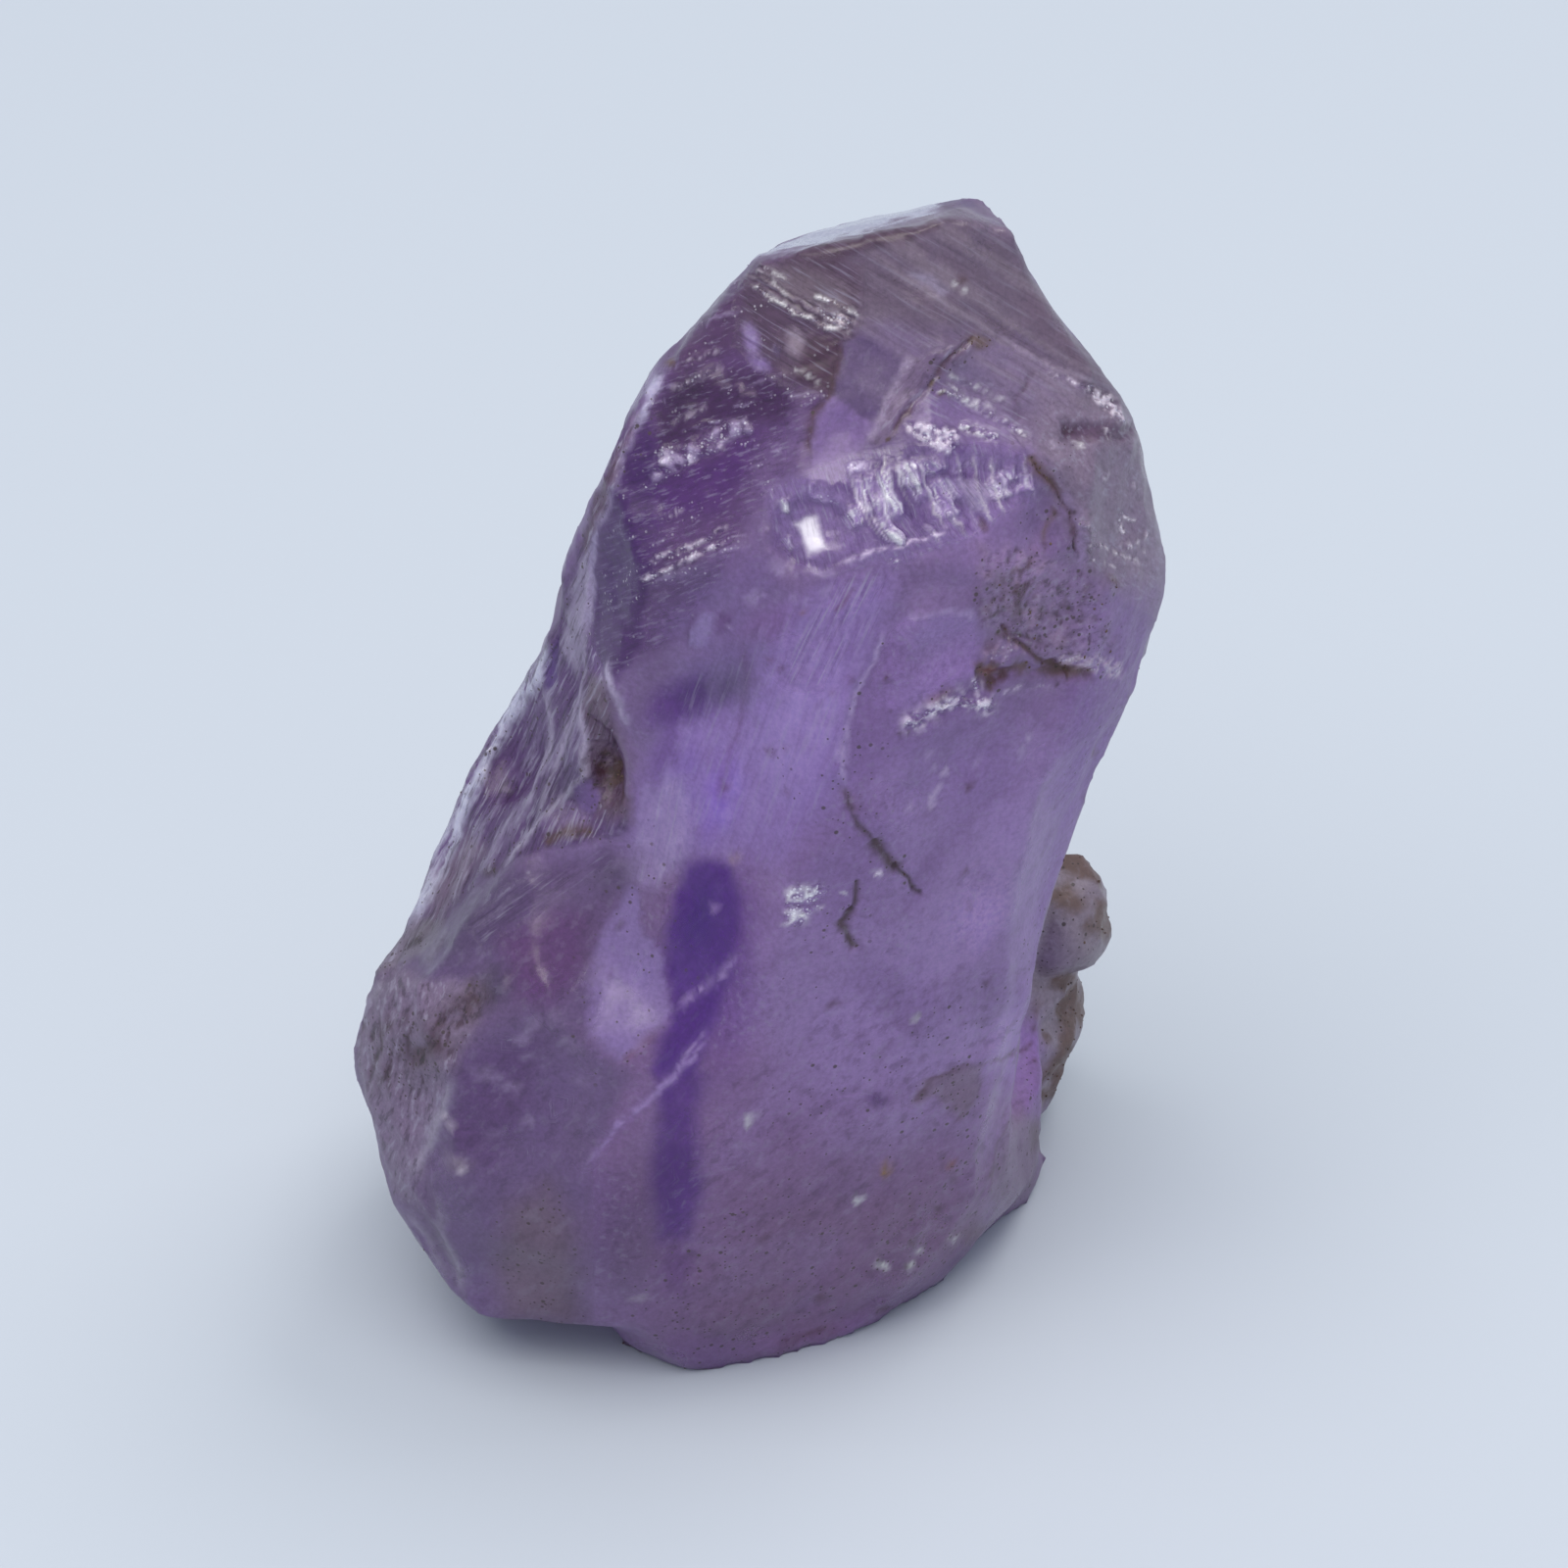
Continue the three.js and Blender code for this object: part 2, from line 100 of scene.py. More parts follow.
def faded_ends(along, share):
    """1 along a line, falling to 0 over a share of its length at either end."""
    return climb(along, 0, share) * climb(1 - along, 0, share)


def along_and_beside(x, y, turn):
    """Places counted along and beside a direction that turns from level, in degrees."""
    angle = math.radians(turn)
    return x * math.cos(angle) + y * math.sin(angle), y * math.cos(angle) - x * math.sin(angle)


# Random waves pick their numbers from a table, by large primes; the turn keeps their lattice out of line
# with the stone, and each seed starts at a place of its own
TABLE = 4096
PRIMES = (73856093, 19349663, 83492791)
LATTICE_TURN = np.array([[0.36, 0.48, -0.8], [-0.8, 0.6, 0.0], [0.48, 0.64, 0.6]])
SEED_SHIFT = 17.3
WAVE_HEIGHT = 1.4


def lattice_waves(places, seed, rise):
    """Smooth random waves between the corners of a lattice of two or three directions."""
    values = np.random.default_rng(seed).uniform(-1, 1, TABLE)
    cell = np.floor(places).astype(np.int64)
    part = rise(places - cell)
    total = np.zeros(len(places))
    ways = range(places.shape[1])
    for corner in range(2 ** len(ways)):
        shift = np.array([corner >> k & 1 for k in ways])
        key = np.bitwise_xor.reduce([(cell[:, k] + shift[k]) * PRIMES[k] for k in ways])
        weight = np.where(shift, part, 1 - part).prod(axis=1)
        total += weight * values[key & (TABLE - 1)]
    return total


def random_waves(places, size, seed):
    """Smooth random waves of a size, from about -1 to 1."""
    turned = places @ LATTICE_TURN / size + seed * SEED_SHIFT
    return WAVE_HEIGHT * lattice_waves(turned, seed, gentle_ease)


def seen_places(points):
    """Where points, in millimetres from the row's origin, are seen: across, up, depth, and to the eye."""
    there = points + ORIGIN
    away = there - PLANE_OUT * OUT
    nearer = EYE_DISTANCE / (EYE_DISTANCE - away @ OUT)
    across = MIDDLE[0] + (away @ ACROSS - MIDDLE[0]) * nearer
    up = MIDDLE[1] + (away @ UP - MIDDLE[1]) * nearer
    to_eye = EYE - there
    return across, up, there[:, 1], to_eye / np.linalg.norm(to_eye, axis=1)[:, None]


class Skin:
    """The stone's surface as lists of numbers: places, directions, relief and finish."""

    MASKS = ("earth", "specks", "gloss", "clear", "grain", "glitter", "pale", "dark")
    # Streaks start far from the edge of their lattice
    STREAK_START = 400
    # Strokes fill a place where its mask is above this; how long they are elsewhere, and how far in depth
    STROKES_FROM = 0.35
    STROKE_LENGTH = 0.2
    STROKE_DEPTH = 3

    def __init__(self, points, outwards):
        self.points = points
        self.outwards = outwards
        self.across, self.up, self.back, to_eye = seen_places(points)
        self.facing = (outwards * to_eye).sum(axis=1)
        # The true places, for strokes that have to run straight
        self.level = self.across, self.up
        # Uneven outlines: every place is read a little beside where it is
        self.across = self.across + 0.05 * self.waves(0.5, 5) + 0.035 * self.waves(0.2, 6)
        self.up = self.up + 0.05 * self.waves(0.5, 7) + 0.035 * self.waves(0.2, 8)
        self.front = climb(self.facing, -0.02, 0.12)
        self.relief = np.zeros(len(points))
        self.colour = np.zeros((len(points), 3))
        self.masks = {name: np.zeros(len(points)) for name in self.MASKS}
        self.strokes = points / self.STROKE_LENGTH

    def waves(self, size, seed, octaves=1):
        """Random waves through the whole stone."""
        parts = [random_waves(self.points, size / 2 ** k, seed + k) / 2 ** k for k in range(octaves)]
        return sum(parts)

    def streaks(self, turn, width, length, seed):
        """Random waves on the front, drawn out in the direction that turns from level."""
        lengthwise, sideways = along_and_beside(self.across, self.up, turn)
        places = np.column_stack([lengthwise / length, sideways / width]) + self.STREAK_START
        return lattice_waves(places, seed, ease)

    def oval(self, at, long, wide, turn=0.0, soft=0.4):
        """1 inside an oval on the front, fading to 0 at its rim."""
        lengthwise, sideways = along_and_beside(self.across - at[0], self.up - at[1], turn)
        return self.front * (1 - climb(np.hypot(lengthwise / long, sideways / wide), 1 - soft, 1.0))

    def area(self, corners, soft=0.3):
        """1 inside a many-sided area on the front, with soft edges."""
        ring = corners + corners[:1]
        inside = np.zeros(len(self.up), bool)
        for (x0, y0), (x1, y1) in zip(ring, ring[1:]):
            if y0 != y1:
                crossing = x0 + (self.up - y0) * (x1 - x0) / (y1 - y0)
                inside ^= ((self.up < y0) != (self.up < y1)) & (self.across < crossing)
        distance = self.beside(ring)[0]
        return self.front * climb(np.where(inside, distance, -distance), -soft, soft)

    def beside(self, knots):
        """How far each point is from a line on the front, on which side (right is positive), and how
        far along it, from 0 to 1."""
        nearest = np.full(len(self.up), np.inf)
        side = np.zeros(len(self.up))
        along = np.zeros(len(self.up))
        lengths = [math.dist(a, b) for a, b in zip(knots, knots[1:])]
        run = 0.0
        for (x0, y0), (x1, y1), length in zip(knots, knots[1:], lengths):
            dx, dy = x1 - x0, y1 - y0
            t = ((self.across - x0) * dx + (self.up - y0) * dy) / length ** 2
            t = np.clip(t, 0, 1)
            away_x, away_y = self.across - x0 - t * dx, self.up - y0 - t * dy
            distance = np.hypot(away_x, away_y)
            closer = distance < nearest
            nearest = np.where(closer, distance, nearest)
            side = np.where(closer, np.sign(away_x * dy - away_y * dx), side)
            along = np.where(closer, (run + t * length) / sum(lengths), along)
            run += length
        return nearest, side, along

    def line(self, knots, width, fade=0.12):
        """1 on a line on the front, falling to 0 within about its width, and fading at both ends."""
        distance, _, along = self.beside(knots)
        return self.front * faded_ends(along, fade) * np.exp(-(distance / width) ** 2)

    def dots(self, places, size):
        """1 on each of a number of small round places."""
        total = np.zeros(len(self.up))
        for x, y in places:
            total = np.maximum(total, np.exp(-((self.across - x) ** 2 + (self.up - y) ** 2) / size ** 2))
        return self.front * total

    def ledge(self, knots, width, height, fade=0.15):
        """Raises a small step: it climbs over a width from the left of a line and drops at the line."""
        distance, side, along = self.beside(knots)
        rise = np.where(side < 0, 1 - climb(distance, 0, width), 1 - climb(distance, 0, 0.2 * width))
        self.relief += height * self.front * faded_ends(along, fade) * rise

    def paint(self, mask, hue):
        """Lays a colour over the surface where the mask says."""
        self.colour += np.clip(mask, 0, 1)[:, None] * (tone(*hue) - self.colour)

    def tint_ovals(self, *rows):
        """Colours ovals one after another, each by a share: its place, size, turn, softness and hue."""
        for share, at, long, wide, turn, soft, hue in rows:
            self.paint(share * self.oval(at, long, wide, turn, soft), hue)

    def tint_areas(self, *rows):
        """Colours many-sided areas one after another."""
        for share, corners, soft, hue in rows:
            self.paint(share * self.area(corners, soft), hue)

    def tint_dots(self, *rows):
        """Colours groups of small round places one after another."""
        for share, places, size, hue in rows:
            self.paint(share * self.dots(places, size), hue)

    def mark(self, **masks):
        """Raises some of the finish masks to at least what is given for each."""
        for name, mask in masks.items():
            self.masks[name] = np.maximum(self.masks[name], np.clip(mask, 0, 1))

    def lessen(self, **masks):
        """Lowers some of the finish masks by the share that is given for each."""
        for name, mask in masks.items():
            self.masks[name] = self.masks[name] * (1 - np.clip(mask, 0, 1))

    def hatch(self, mask, turn, width, length, pale=0.0, dark=0.0):
        """Fills a place with fine pale and dark strokes in one direction; the material draws them."""
        lengthwise, sideways = along_and_beside(*self.level, turn)
        self.lay_strokes(mask, lengthwise / length, sideways / width, pale, dark)

    def hatch_along(self, mask, knots, width, length, pale=0.0, dark=0.0):
        """Fills a place with fine strokes that follow a line."""
        distance, side, along = self.beside(knots)
        whole = sum(math.dist(a, b) for a, b in zip(knots, knots[1:]))
        self.lay_strokes(mask, along * whole / length, side * distance / width, pale, dark)

    def lay_strokes(self, mask, lengthwise, sideways, pale, dark):
        """Sets where the material's strokes run, by places counted in stroke lengths and widths."""
        here = mask > self.STROKES_FROM
        places = np.column_stack([lengthwise, sideways, self.points[:, 1] / self.STROKE_DEPTH])
        self.strokes = np.where(here[:, None], places, self.strokes)
        strength = climb(mask, self.STROKES_FROM, 0.8)
        for name, share in (("pale", pale), ("dark", dark)):
            self.masks[name] = np.where(here, share * strength, self.masks[name])

    def frost_and_highlight(self, mask, hue, share=0.7, size=0.16, seed=900):
        """Makes a place crushed and frosty: bright broken grains that little light passes, painted partly as
        highlights, with painted glints.
        """
        grains = climb(self.waves(size, seed) + 0.6 * self.waves(0.45, seed + 5), -0.5, 0.7)
        self.hatch(mask, -35 + 20 * (seed % 3), 0.07, 0.14, pale=0.75, dark=0.55)
        self.relief += 0.035 * mask * self.waves(size, seed)
        self.paint(share * mask * grains, hue)
        self.mark(glitter=0.7 * mask, gloss=0.8 * mask)
        self.lessen(clear=0.7 * mask * grains)

    def finish(self, mesh):
        """Moves the mesh's points by the relief, and stores colour and masks in it."""
        moved = (self.points + self.relief[:, None] * self.outwards) * MM
        moved[:, 2] = np.maximum(moved[:, 2], 0.0)
        mesh.vertices.foreach_set("co", moved.ravel())
        masks = np.column_stack([self.masks[name] for name in self.MASKS])
        for name, values in (("stone_colour", np.clip(self.colour, 0, 1)), ("stone_film", masks[:, :3]),
                             ("stone_body", masks[:, 3:6]), ("stone_lines", masks[:, 6:]),
                             ("stone_strokes", self.strokes)):
            layer = mesh.attributes.new(name, "FLOAT_COLOR", "POINT")
            padded = np.ones((len(values), 4), np.float32)
            padded[:, :values.shape[1]] = values
            layer.data.foreach_set("color", padded.ravel())
        mesh.update()


# The colour of frosty places and of painted highlights. Like all colours here it is given as it looks in the
# light, from 0 to 255
FROST_AND_HIGHLIGHT = (206, 202, 220)


def whole_stone(skin):
    """Fracture waves over the whole stone, greyer and earthier round the back."""
    calm = skin.oval((3.2, 8.99), 8.5, 4.6, 74, soft=0.5)
    lively = 1 - 0.75 * calm
    skin.relief += 0.07 * lively * skin.waves(2.6, 11) + 0.04 * lively * skin.waves(1.1, 21)
    skin.relief += 0.022 * lively * skin.waves(0.5, 31) + 0.006 * skin.waves(0.3, 41)
    skin.paint(np.ones(len(skin.up)), (114, 99, 136))
    skin.paint(0.6 * climb(-skin.facing, -0.2, 0.6), (106, 98, 120))
    skin.mark(gloss=0.45 + 0.15 * skin.waves(1.6, 61), clear=0.75, grain=0.3,
              specks=0.05 + 0.12 * climb(skin.waves(3.0, 71), 0.2, 0.9))
    lively_film = 0.5 + 0.5 * climb(skin.waves(1.8, 81), -0.4, 0.5)
    skin.mark(pale=0.22 * lively_film, dark=0.3 * lively_film)


def broad_colours(skin):
    """The broad drift of colour: smoky above, lilac in the middle and painted lighter there as a glow, mauve
    at the foot.
    """
    skin.tint_areas(
        (0.9, [(-3.56, 6.35), (0.0, 13.21), (5.08, 17.78), (12.7, 17.27), (10.67, 7.62), (9.4, 3.56),
            (5.08, 0.51), (-1.52, 0.51)], 2.0, (120, 98, 137)),
        (0.9, [(0.0, 9.91), (4.57, 17.78), (11.43, 16.76), (9.53, 7.87), (4.06, 6.86)], 1.3, (136, 116, 162)),
    )
    # Lighter ovals in the middle: partly the stone's own lilac, partly a painted glow
    skin.tint_ovals(
        (0.6, (7.87, 11.94), 5.84, 2.03, 62, 0.9, (146, 127, 174)),
        (0.55, (5.84, 10.54), 4.32, 1.4, 35, 0.9, (142, 123, 170)),
        (0.5, (6.6, 15.24), 1.78, 2.79, 10, 0.9, (130, 110, 156)),
        (0.6, (6.48, 20.02), 1.52, 0.61, 10, 0.8, (136, 116, 158)),
    )
    skin.paint(0.7 * skin.area([
        (1.52, 5.08), (6.6, 5.59), (8.13, 3.3), (3.56, 0.76), (0.0, 0.51)], 1.4), (113, 92, 121))
    skin.paint(0.6 * skin.oval((7.87, 9.91), 3.56, 1.02, 25, soft=0.9), (108, 92, 132))
    side = skin.area([
        (10.29, 19.3), (12.57, 21.84), (12.32, 17.78), (10.54, 13.21), (9.86, 10.16), (9.14, 6.35),
        (8.38, 7.62), (9.19, 12.7)], 0.5)
    skin.paint(0.7 * side, (112, 92, 142))
    skin.lessen(gloss=0.8 * side, clear=0.3 * side)
    mottle = skin.waves(3.0, 51, octaves=3)
    skin.paint(0.35 * climb(mottle, 0.1, 1.2), (136, 118, 160))
    skin.paint(0.35 * climb(-mottle, 0.1, 1.2), (96, 78, 122))
    bands = skin.streaks(58, 0.5, 5.0, 55)
    # Pale bands in the middle, painted as a glow
    painted_glow_zone = skin.oval((6.6, 10.16), 8.38, 4.83, 60, soft=0.7)
    skin.paint(0.25 * painted_glow_zone * climb(bands, 0.0, 0.8), (146, 128, 172))
    blots = skin.waves(0.45, 57, octaves=2)
    skin.paint(0.22 * skin.front * climb(-blots, 0.4, 1.0), (92, 74, 112))


def smoky_tip(skin):
    """The grey-brown tip and right shoulder, with soft bands that fall to the right."""
    tip = skin.area([
        (2.54, 29.46), (6.98, 30.61), (8.89, 29.46), (12.7, 23.37), (12.19, 19.3), (10.16, 21.34),
        (9.14, 24.13), (7.62, 25.4), (6.6, 25.78), (5.08, 26.67), (3.81, 27.18)], 0.7)
    skin.paint(0.9 * tip, (104, 97, 110))
    skin.tint_areas(
        (0.7, [(5.08, 27.18), (7.24, 26.92), (6.6, 25.78), (5.71, 24.89), (3.81, 26.67)], 0.4,
            (110, 98, 128)),
        (0.7, [(7.24, 26.67), (8.64, 26.8), (10.41, 25.53), (9.53, 24.38), (8.38, 24.0), (6.73, 25.4)], 0.3,
            (124, 112, 142)),
        (0.8, [(8.76, 27.18), (10.92, 25.65), (11.94, 24.38), (11.43, 25.4), (9.65, 27.94), (8.89, 28.19)],
            0.3, (104, 94, 110)),
    )
    skin.hatch(tip, -31, 0.12, 1.8, pale=0.22, dark=0.3)
    lines = skin.streaks(-31, 0.1, 2.2, 101)
    broad = skin.streaks(-33, 0.24, 5.0, 102)
    skin.relief += tip * (0.010 * lines + 0.02 * broad)
    skin.paint(0.30 * tip * climb(lines, 0.1, 0.9), (134, 126, 138))
    skin.paint(0.42 * tip * climb(broad, 0.1, 0.8), (132, 124, 134))
    skin.paint(0.42 * tip * climb(-broad, 0.1, 0.8), (86, 76, 90))
    skin.mark(grain=0.6 * tip)
    dark_rim = skin.area([
        (2.29, 28.91), (4.57, 29.51), (6.98, 29.92), (6.35, 29.51), (4.32, 28.91), (3.68, 28.5),
        (2.54, 28.65)], 0.16)
    skin.paint(0.8 * dark_rim, (72, 62, 74))
    skin.paint(0.7 * skin.area([
        (6.48, 30.3), (6.91, 30.53), (7.42, 30.43), (7.62, 30.25)], 0.1), (84, 76, 110))
    edge = skin.line([(8.1, 26.85), (9.32, 26.21), (10.69, 25.53)], 0.07)
    skin.paint(0.5 * edge, (158, 148, 164))
    gleam = skin.area([(5.82, 28.5), (6.22, 28.47), (6.81, 28.04), (6.55, 27.89)], 0.14)
    skin.paint(0.7 * gleam, (150, 144, 166))
    crack = skin.line([(9.04, 25.98), (8.79, 25.58), (8.56, 25.22), (8.53, 24.89), (8.69, 24.64)], 0.05)
    skin.relief -= 0.05 * crack
    skin.paint(0.6 * crack, (78, 66, 80))
    skin.mark(specks=0.8 * skin.line([(8.86, 24.87), (9.14, 24.43)], 0.14))
    dirt = skin.oval((7.54, 26.67), 0.51, 0.3, -15, soft=0.8)
    skin.paint(0.7 * dirt, (96, 82, 74))
    skin.mark(specks=dirt, earth=0.6 * dirt)
    # Two small painted highlights
    skin.paint(0.8 * skin.dots([(6.91, 28.19), (7.24, 28.02)], 0.06), FROST_AND_HIGHLIGHT)
    skin.paint(0.6 * skin.oval((7.16, 28.3), 0.25, 0.15, 0, soft=0.8), (78, 66, 70))
    # A painted reflection of the bright room along the grazing top edge
    grazing_reflection = skin.area([
        (1.02, 28.75), (2.03, 29.46), (4.57, 30.1), (6.6, 30.48), (6.55, 30.18), (4.57, 29.57), (2.54, 29.06),
        (1.91, 28.85)], 0.08)
    skin.paint(0.9 * grazing_reflection, (148, 158, 172))
    skin.mark(gloss=grazing_reflection)
    skin.lessen(clear=0.6 * grazing_reflection)


def violet_slope(skin):
    """The dark violet slope at the upper left, with rows of fine steps that climb to the right."""
    slope = skin.area([
        (-2.74, 18.03), (-2.46, 20.32), (-1.78, 23.37), (-0.71, 25.91), (1.02, 28.65), (3.81, 27.18),
        (4.11, 26.8), (3.56, 25.15), (3.17, 23.62), (1.78, 22.35), (0.89, 20.32), (-0.51, 18.8),
        (-2.03, 18.03)], 0.35)
    skin.paint(0.9 * slope, (88, 71, 108))
    skin.tint_areas(
        (0.85, [(-2.44, 19.81), (-1.83, 22.86), (-0.97, 24.64), (-0.66, 23.37), (-0.81, 21.34),
            (-1.52, 19.81)], 0.5, (66, 46, 98)),
        (0.75, [(-0.71, 23.11), (0.36, 23.62), (1.83, 24.33), (1.73, 23.37), (0.89, 22.35), (-0.81, 22.1)],
            0.35, (80, 58, 108)),
        (0.8, [(-0.81, 24.89), (-0.25, 25.78), (1.78, 26.11), (3.05, 25.4), (2.54, 24.64), (1.07, 24.59),
            (-0.71, 23.72)], 0.3, (66, 50, 80)),
        (0.6, [(1.78, 23.62), (3.05, 24.89), (3.25, 23.75), (2.29, 22.86), (1.52, 22.35)], 0.4,
            (112, 96, 134)),
        (0.6, [(-0.61, 26.42), (1.02, 28.45), (1.47, 27.94), (1.27, 26.42), (-0.25, 25.78)], 0.35,
            (84, 70, 92)),
    )
    skin.hatch(slope, 20, 0.1, 0.4, pale=0.28, dark=0.4)
    rows = skin.streaks(20, 0.11, 0.7, 111)
    fine = skin.streaks(18, 0.07, 0.3, 116)
    skin.relief += slope * (0.018 * rows + 0.02 * skin.streaks(20, 0.4, 3.0, 112))
    # Painted glints along the rows of steps
    glitter = climb(rows + 0.7 * fine, 0.62, 1.25)
    band = slope * climb(skin.waves(1.2, 118), -0.5, 0.6)
    skin.paint(0.42 * band * glitter, (168, 158, 190))
    skin.mark(glitter=0.55 * slope * climb(rows, 0.2, 0.8), gloss=0.7 * slope)
    turned = skin.area([
        (-2.44, 18.03), (-2.54, 20.07), (-2.24, 21.84), (-1.68, 23.37), (-1.27, 24.64), (-0.81, 24.89),
        (-0.81, 21.34), (-1.14, 18.8), (-1.78, 17.78)], 0.15)
    skin.paint(0.85 * turned, (62, 47, 84))
    skin.lessen(pale=0.5 * turned, clear=0.7 * turned, gloss=0.8 * turned)
    rows_at = (
        ([(-1.22, 20.55), (-0.64, 20.75), (0.28, 21.18), (1.07, 21.56)], 0.075, 0.95),
        ([(-1.02, 21.03), (0.2, 21.46), (1.17, 21.92)], 0.07, 0.8),
        ([(-0.08, 26.14), (0.99, 26.49)], 0.05, 0.55),
        ([(-0.43, 25.48), (0.2, 25.7), (0.94, 26.11)], 0.06, 0.8),
        ([(-0.3, 24.59), (0.56, 24.99)], 0.05, 0.5),
        ([(-0.86, 22.15), (0.0, 22.35)], 0.05, 0.5),
        ([(-1.02, 20.07), (-0.25, 20.22)], 0.05, 0.35),
    )
    # Each row is a small step with bright frost and a painted highlight along it
    for knots, width, power in rows_at:
        skin.ledge(knots, 4 * width, 0.05 * power)
        skin.frost_and_highlight(power * skin.line(knots, width), (196, 190, 208), share=0.8, size=0.12, seed=117)
    scuffs = skin.area([
        (-0.91, 23.22), (-0.61, 23.93), (0.3, 24.08), (1.02, 24.59), (1.57, 24.79), (1.8, 24.38),
        (0.3, 23.67), (-0.25, 23.32), (-0.81, 23.06)], 0.09)
    skin.relief += 0.06 * scuffs
    skin.frost_and_highlight(0.75 * scuffs, (150, 142, 168), share=0.85, size=0.2, seed=115)
    for at, long, wide in (
        ((-0.61, 23.62), 0.3302, 0.2286),
        ((0.1, 23.67), 0.3302, 0.2032),
        ((0.97, 24.08), 0.2032, 0.1524),
        ((1.57, 24.59), 0.2032, 0.1778),
    ):
        skin.frost_and_highlight(skin.oval(at, long, wide, 20, soft=0.7), (188, 182, 198), size=0.13,
                   seed=119)
    skin.ledge([(0.0, 23.52), (0.91, 23.9), (1.8, 24.31)], 0.5, -0.05)
    soft_edge = skin.oval((0.51, 20.95), 1.78, 0.36, 24, soft=0.9)
    skin.paint(0.5 * soft_edge, (120, 106, 144))
    pale = skin.area([
        (0.0, 20.32), (1.78, 21.34), (2.54, 20.57), (1.52, 19.3), (0.0, 18.8), (-0.76, 19.3)], 0.5)
    skin.paint(0.5 * pale, (112, 96, 142))
    flake = skin.area([(0.05, 18.85), (0.36, 19.66), (0.71, 19.61), (0.61, 18.75)], 0.07)
    skin.relief += 0.06 * flake
    skin.paint(0.8 * flake, (132, 120, 164))
    skin.paint(0.5 * skin.line([(0.0, 18.8), (0.3, 19.71)], 0.09), (72, 54, 92))
    skin.paint(0.6 * skin.area([
        (0.81, 19.66), (1.22, 19.71), (1.12, 19.2), (0.76, 19.1)], 0.1), (84, 60, 104))
    skin.frost_and_highlight(0.5 * skin.oval((1.07, 19.3), 0.36, 0.13, 30, soft=0.8), (170, 160, 192), seed=121)
    brown = skin.oval((-0.43, 26.19), 0.15, 0.1, 30, soft=0.6)
    skin.paint(0.8 * brown, (96, 78, 64))
    ridge = [(-0.61, 25.96), (-1.09, 24.82), (-1.45, 24.33), (-1.73, 23.55), (-1.91, 23.06), (-2.36, 21.77),
             (-2.51, 20.4), (-2.64, 18.92)]
    skin.ledge(ridge[::-1], 0.25, 0.06, fade=0.05)
    # A painted highlight along the ridge
    skin.paint(0.7 * skin.line(ridge, 0.1, fade=0.05), (178, 180, 202))
    skin.lessen(clear=0.4 * skin.line(ridge, 0.12, fade=0.05))


def chatter_marks(skin):
    """Close parallel steps below the top edge, with painted light and shade on them, and the shiny patches
    under them, painted as reflections.
    """
    smoky = skin.area([
        (1.32, 28.4), (1.93, 28.91), (4.57, 28.75), (4.62, 27.94), (4.37, 26.8), (4.06, 25.53), (3.61, 25.35),
        (2.54, 25.6), (1.32, 26.67)], 0.3)
    skin.paint(0.9 * smoky, (88, 78, 92))
    dark = skin.area([(3.15, 26.8), (4.09, 26.72), (4.01, 25.53), (3.61, 25.35), (2.84, 25.7)], 0.2)
    skin.paint(0.9 * dark, (70, 58, 72))
    skin.paint(0.75 * skin.area([
        (2.03, 28.4), (2.54, 28.65), (4.11, 28.19), (4.27, 27.48), (3.56, 27.38), (2.54, 27.81)], 0.2),
        (112, 104, 112))
    skin.hatch(smoky, -31, 0.1, 1.5, pale=0.4, dark=0.5)
    rows, spacing = along_and_beside(skin.up, skin.across, 30)[0], 0.2
    steps = skin.area([
        (1.45, 28.4), (1.93, 28.7), (2.84, 27.94), (4.11, 27.38), (4.52, 27.28), (4.11, 26.82),
        (3.05, 27.33)], 0.15)
    ribs = np.sin(rows * 2 * math.pi / spacing + 1.2 * skin.waves(1.2, 121))
    skin.relief += 0.025 * steps * ribs
    # Painted light on the crests of the steps, and painted shade between them
    skin.paint(0.5 * steps * climb(ribs, 0.2, 1.0), (156, 148, 158))
    skin.paint(0.5 * steps * climb(-ribs, 0.2, 1.0), (70, 62, 74))
    # Bright step edges: frost with painted highlights along them
    for knots, width, power in (
        ([(1.55, 28.24), (2.16, 27.81), (2.84, 27.46), (3.63, 27.08), (4.06, 26.9)], 0.06, 0.95),
        ([(1.8, 28.55), (2.34, 28.14), (2.67, 27.81)], 0.055, 0.7),
        ([(1.93, 28.65), (2.67, 28.3)], 0.05, 0.6),
        ([(3.28, 27.94), (3.86, 27.64), (4.52, 27.33)], 0.06, 0.8),
        ([(2.77, 26.01), (3.45, 25.6)], 0.04, 0.8),
    ):
        skin.ledge(knots[::-1], 4 * width, 0.05 * power)
        skin.frost_and_highlight(power * skin.line(knots, width), (206, 202, 208), share=0.85, size=0.1, seed=122)
    bright = skin.area([(3.2, 27.79), (3.81, 27.48), (4.39, 27.28), (4.17, 26.9), (3.68, 27.08)], 0.12)
    skin.frost_and_highlight(0.85 * bright, (186, 180, 186), share=0.75, size=0.13, seed=123)
    lines = skin.streaks(-32, 0.05, 1.2, 124)
    # Painted reflections: soft patches, mostly lighter, under the steps
    for at, long, wide, turn, hue in (
        ((1.68, 26.8), 0.6096, 0.3302, 112, (142, 126, 172)),
        ((1.91, 26.16), 0.4572, 0.2286, 140, (134, 116, 166)),
        ((2.82, 26.67), 0.5588, 0.3302, 108, (140, 130, 142)),
        ((2.29, 26.47), 0.254, 0.127, 100, (92, 84, 112)),
    ):
        reflection_patch = skin.oval(at, long, wide, turn, soft=0.85)
        skin.paint(0.85 * reflection_patch, hue)
        skin.paint(0.3 * reflection_patch * climb(lines, 0.1, 0.8), (186, 176, 204))
        skin.mark(gloss=reflection_patch)
    shell = skin.line([(1.4, 25.76), (1.47, 25.45), (1.88, 25.35)], 0.06)
    skin.relief += 0.05 * shell
    skin.paint(0.5 * shell, (140, 128, 142))


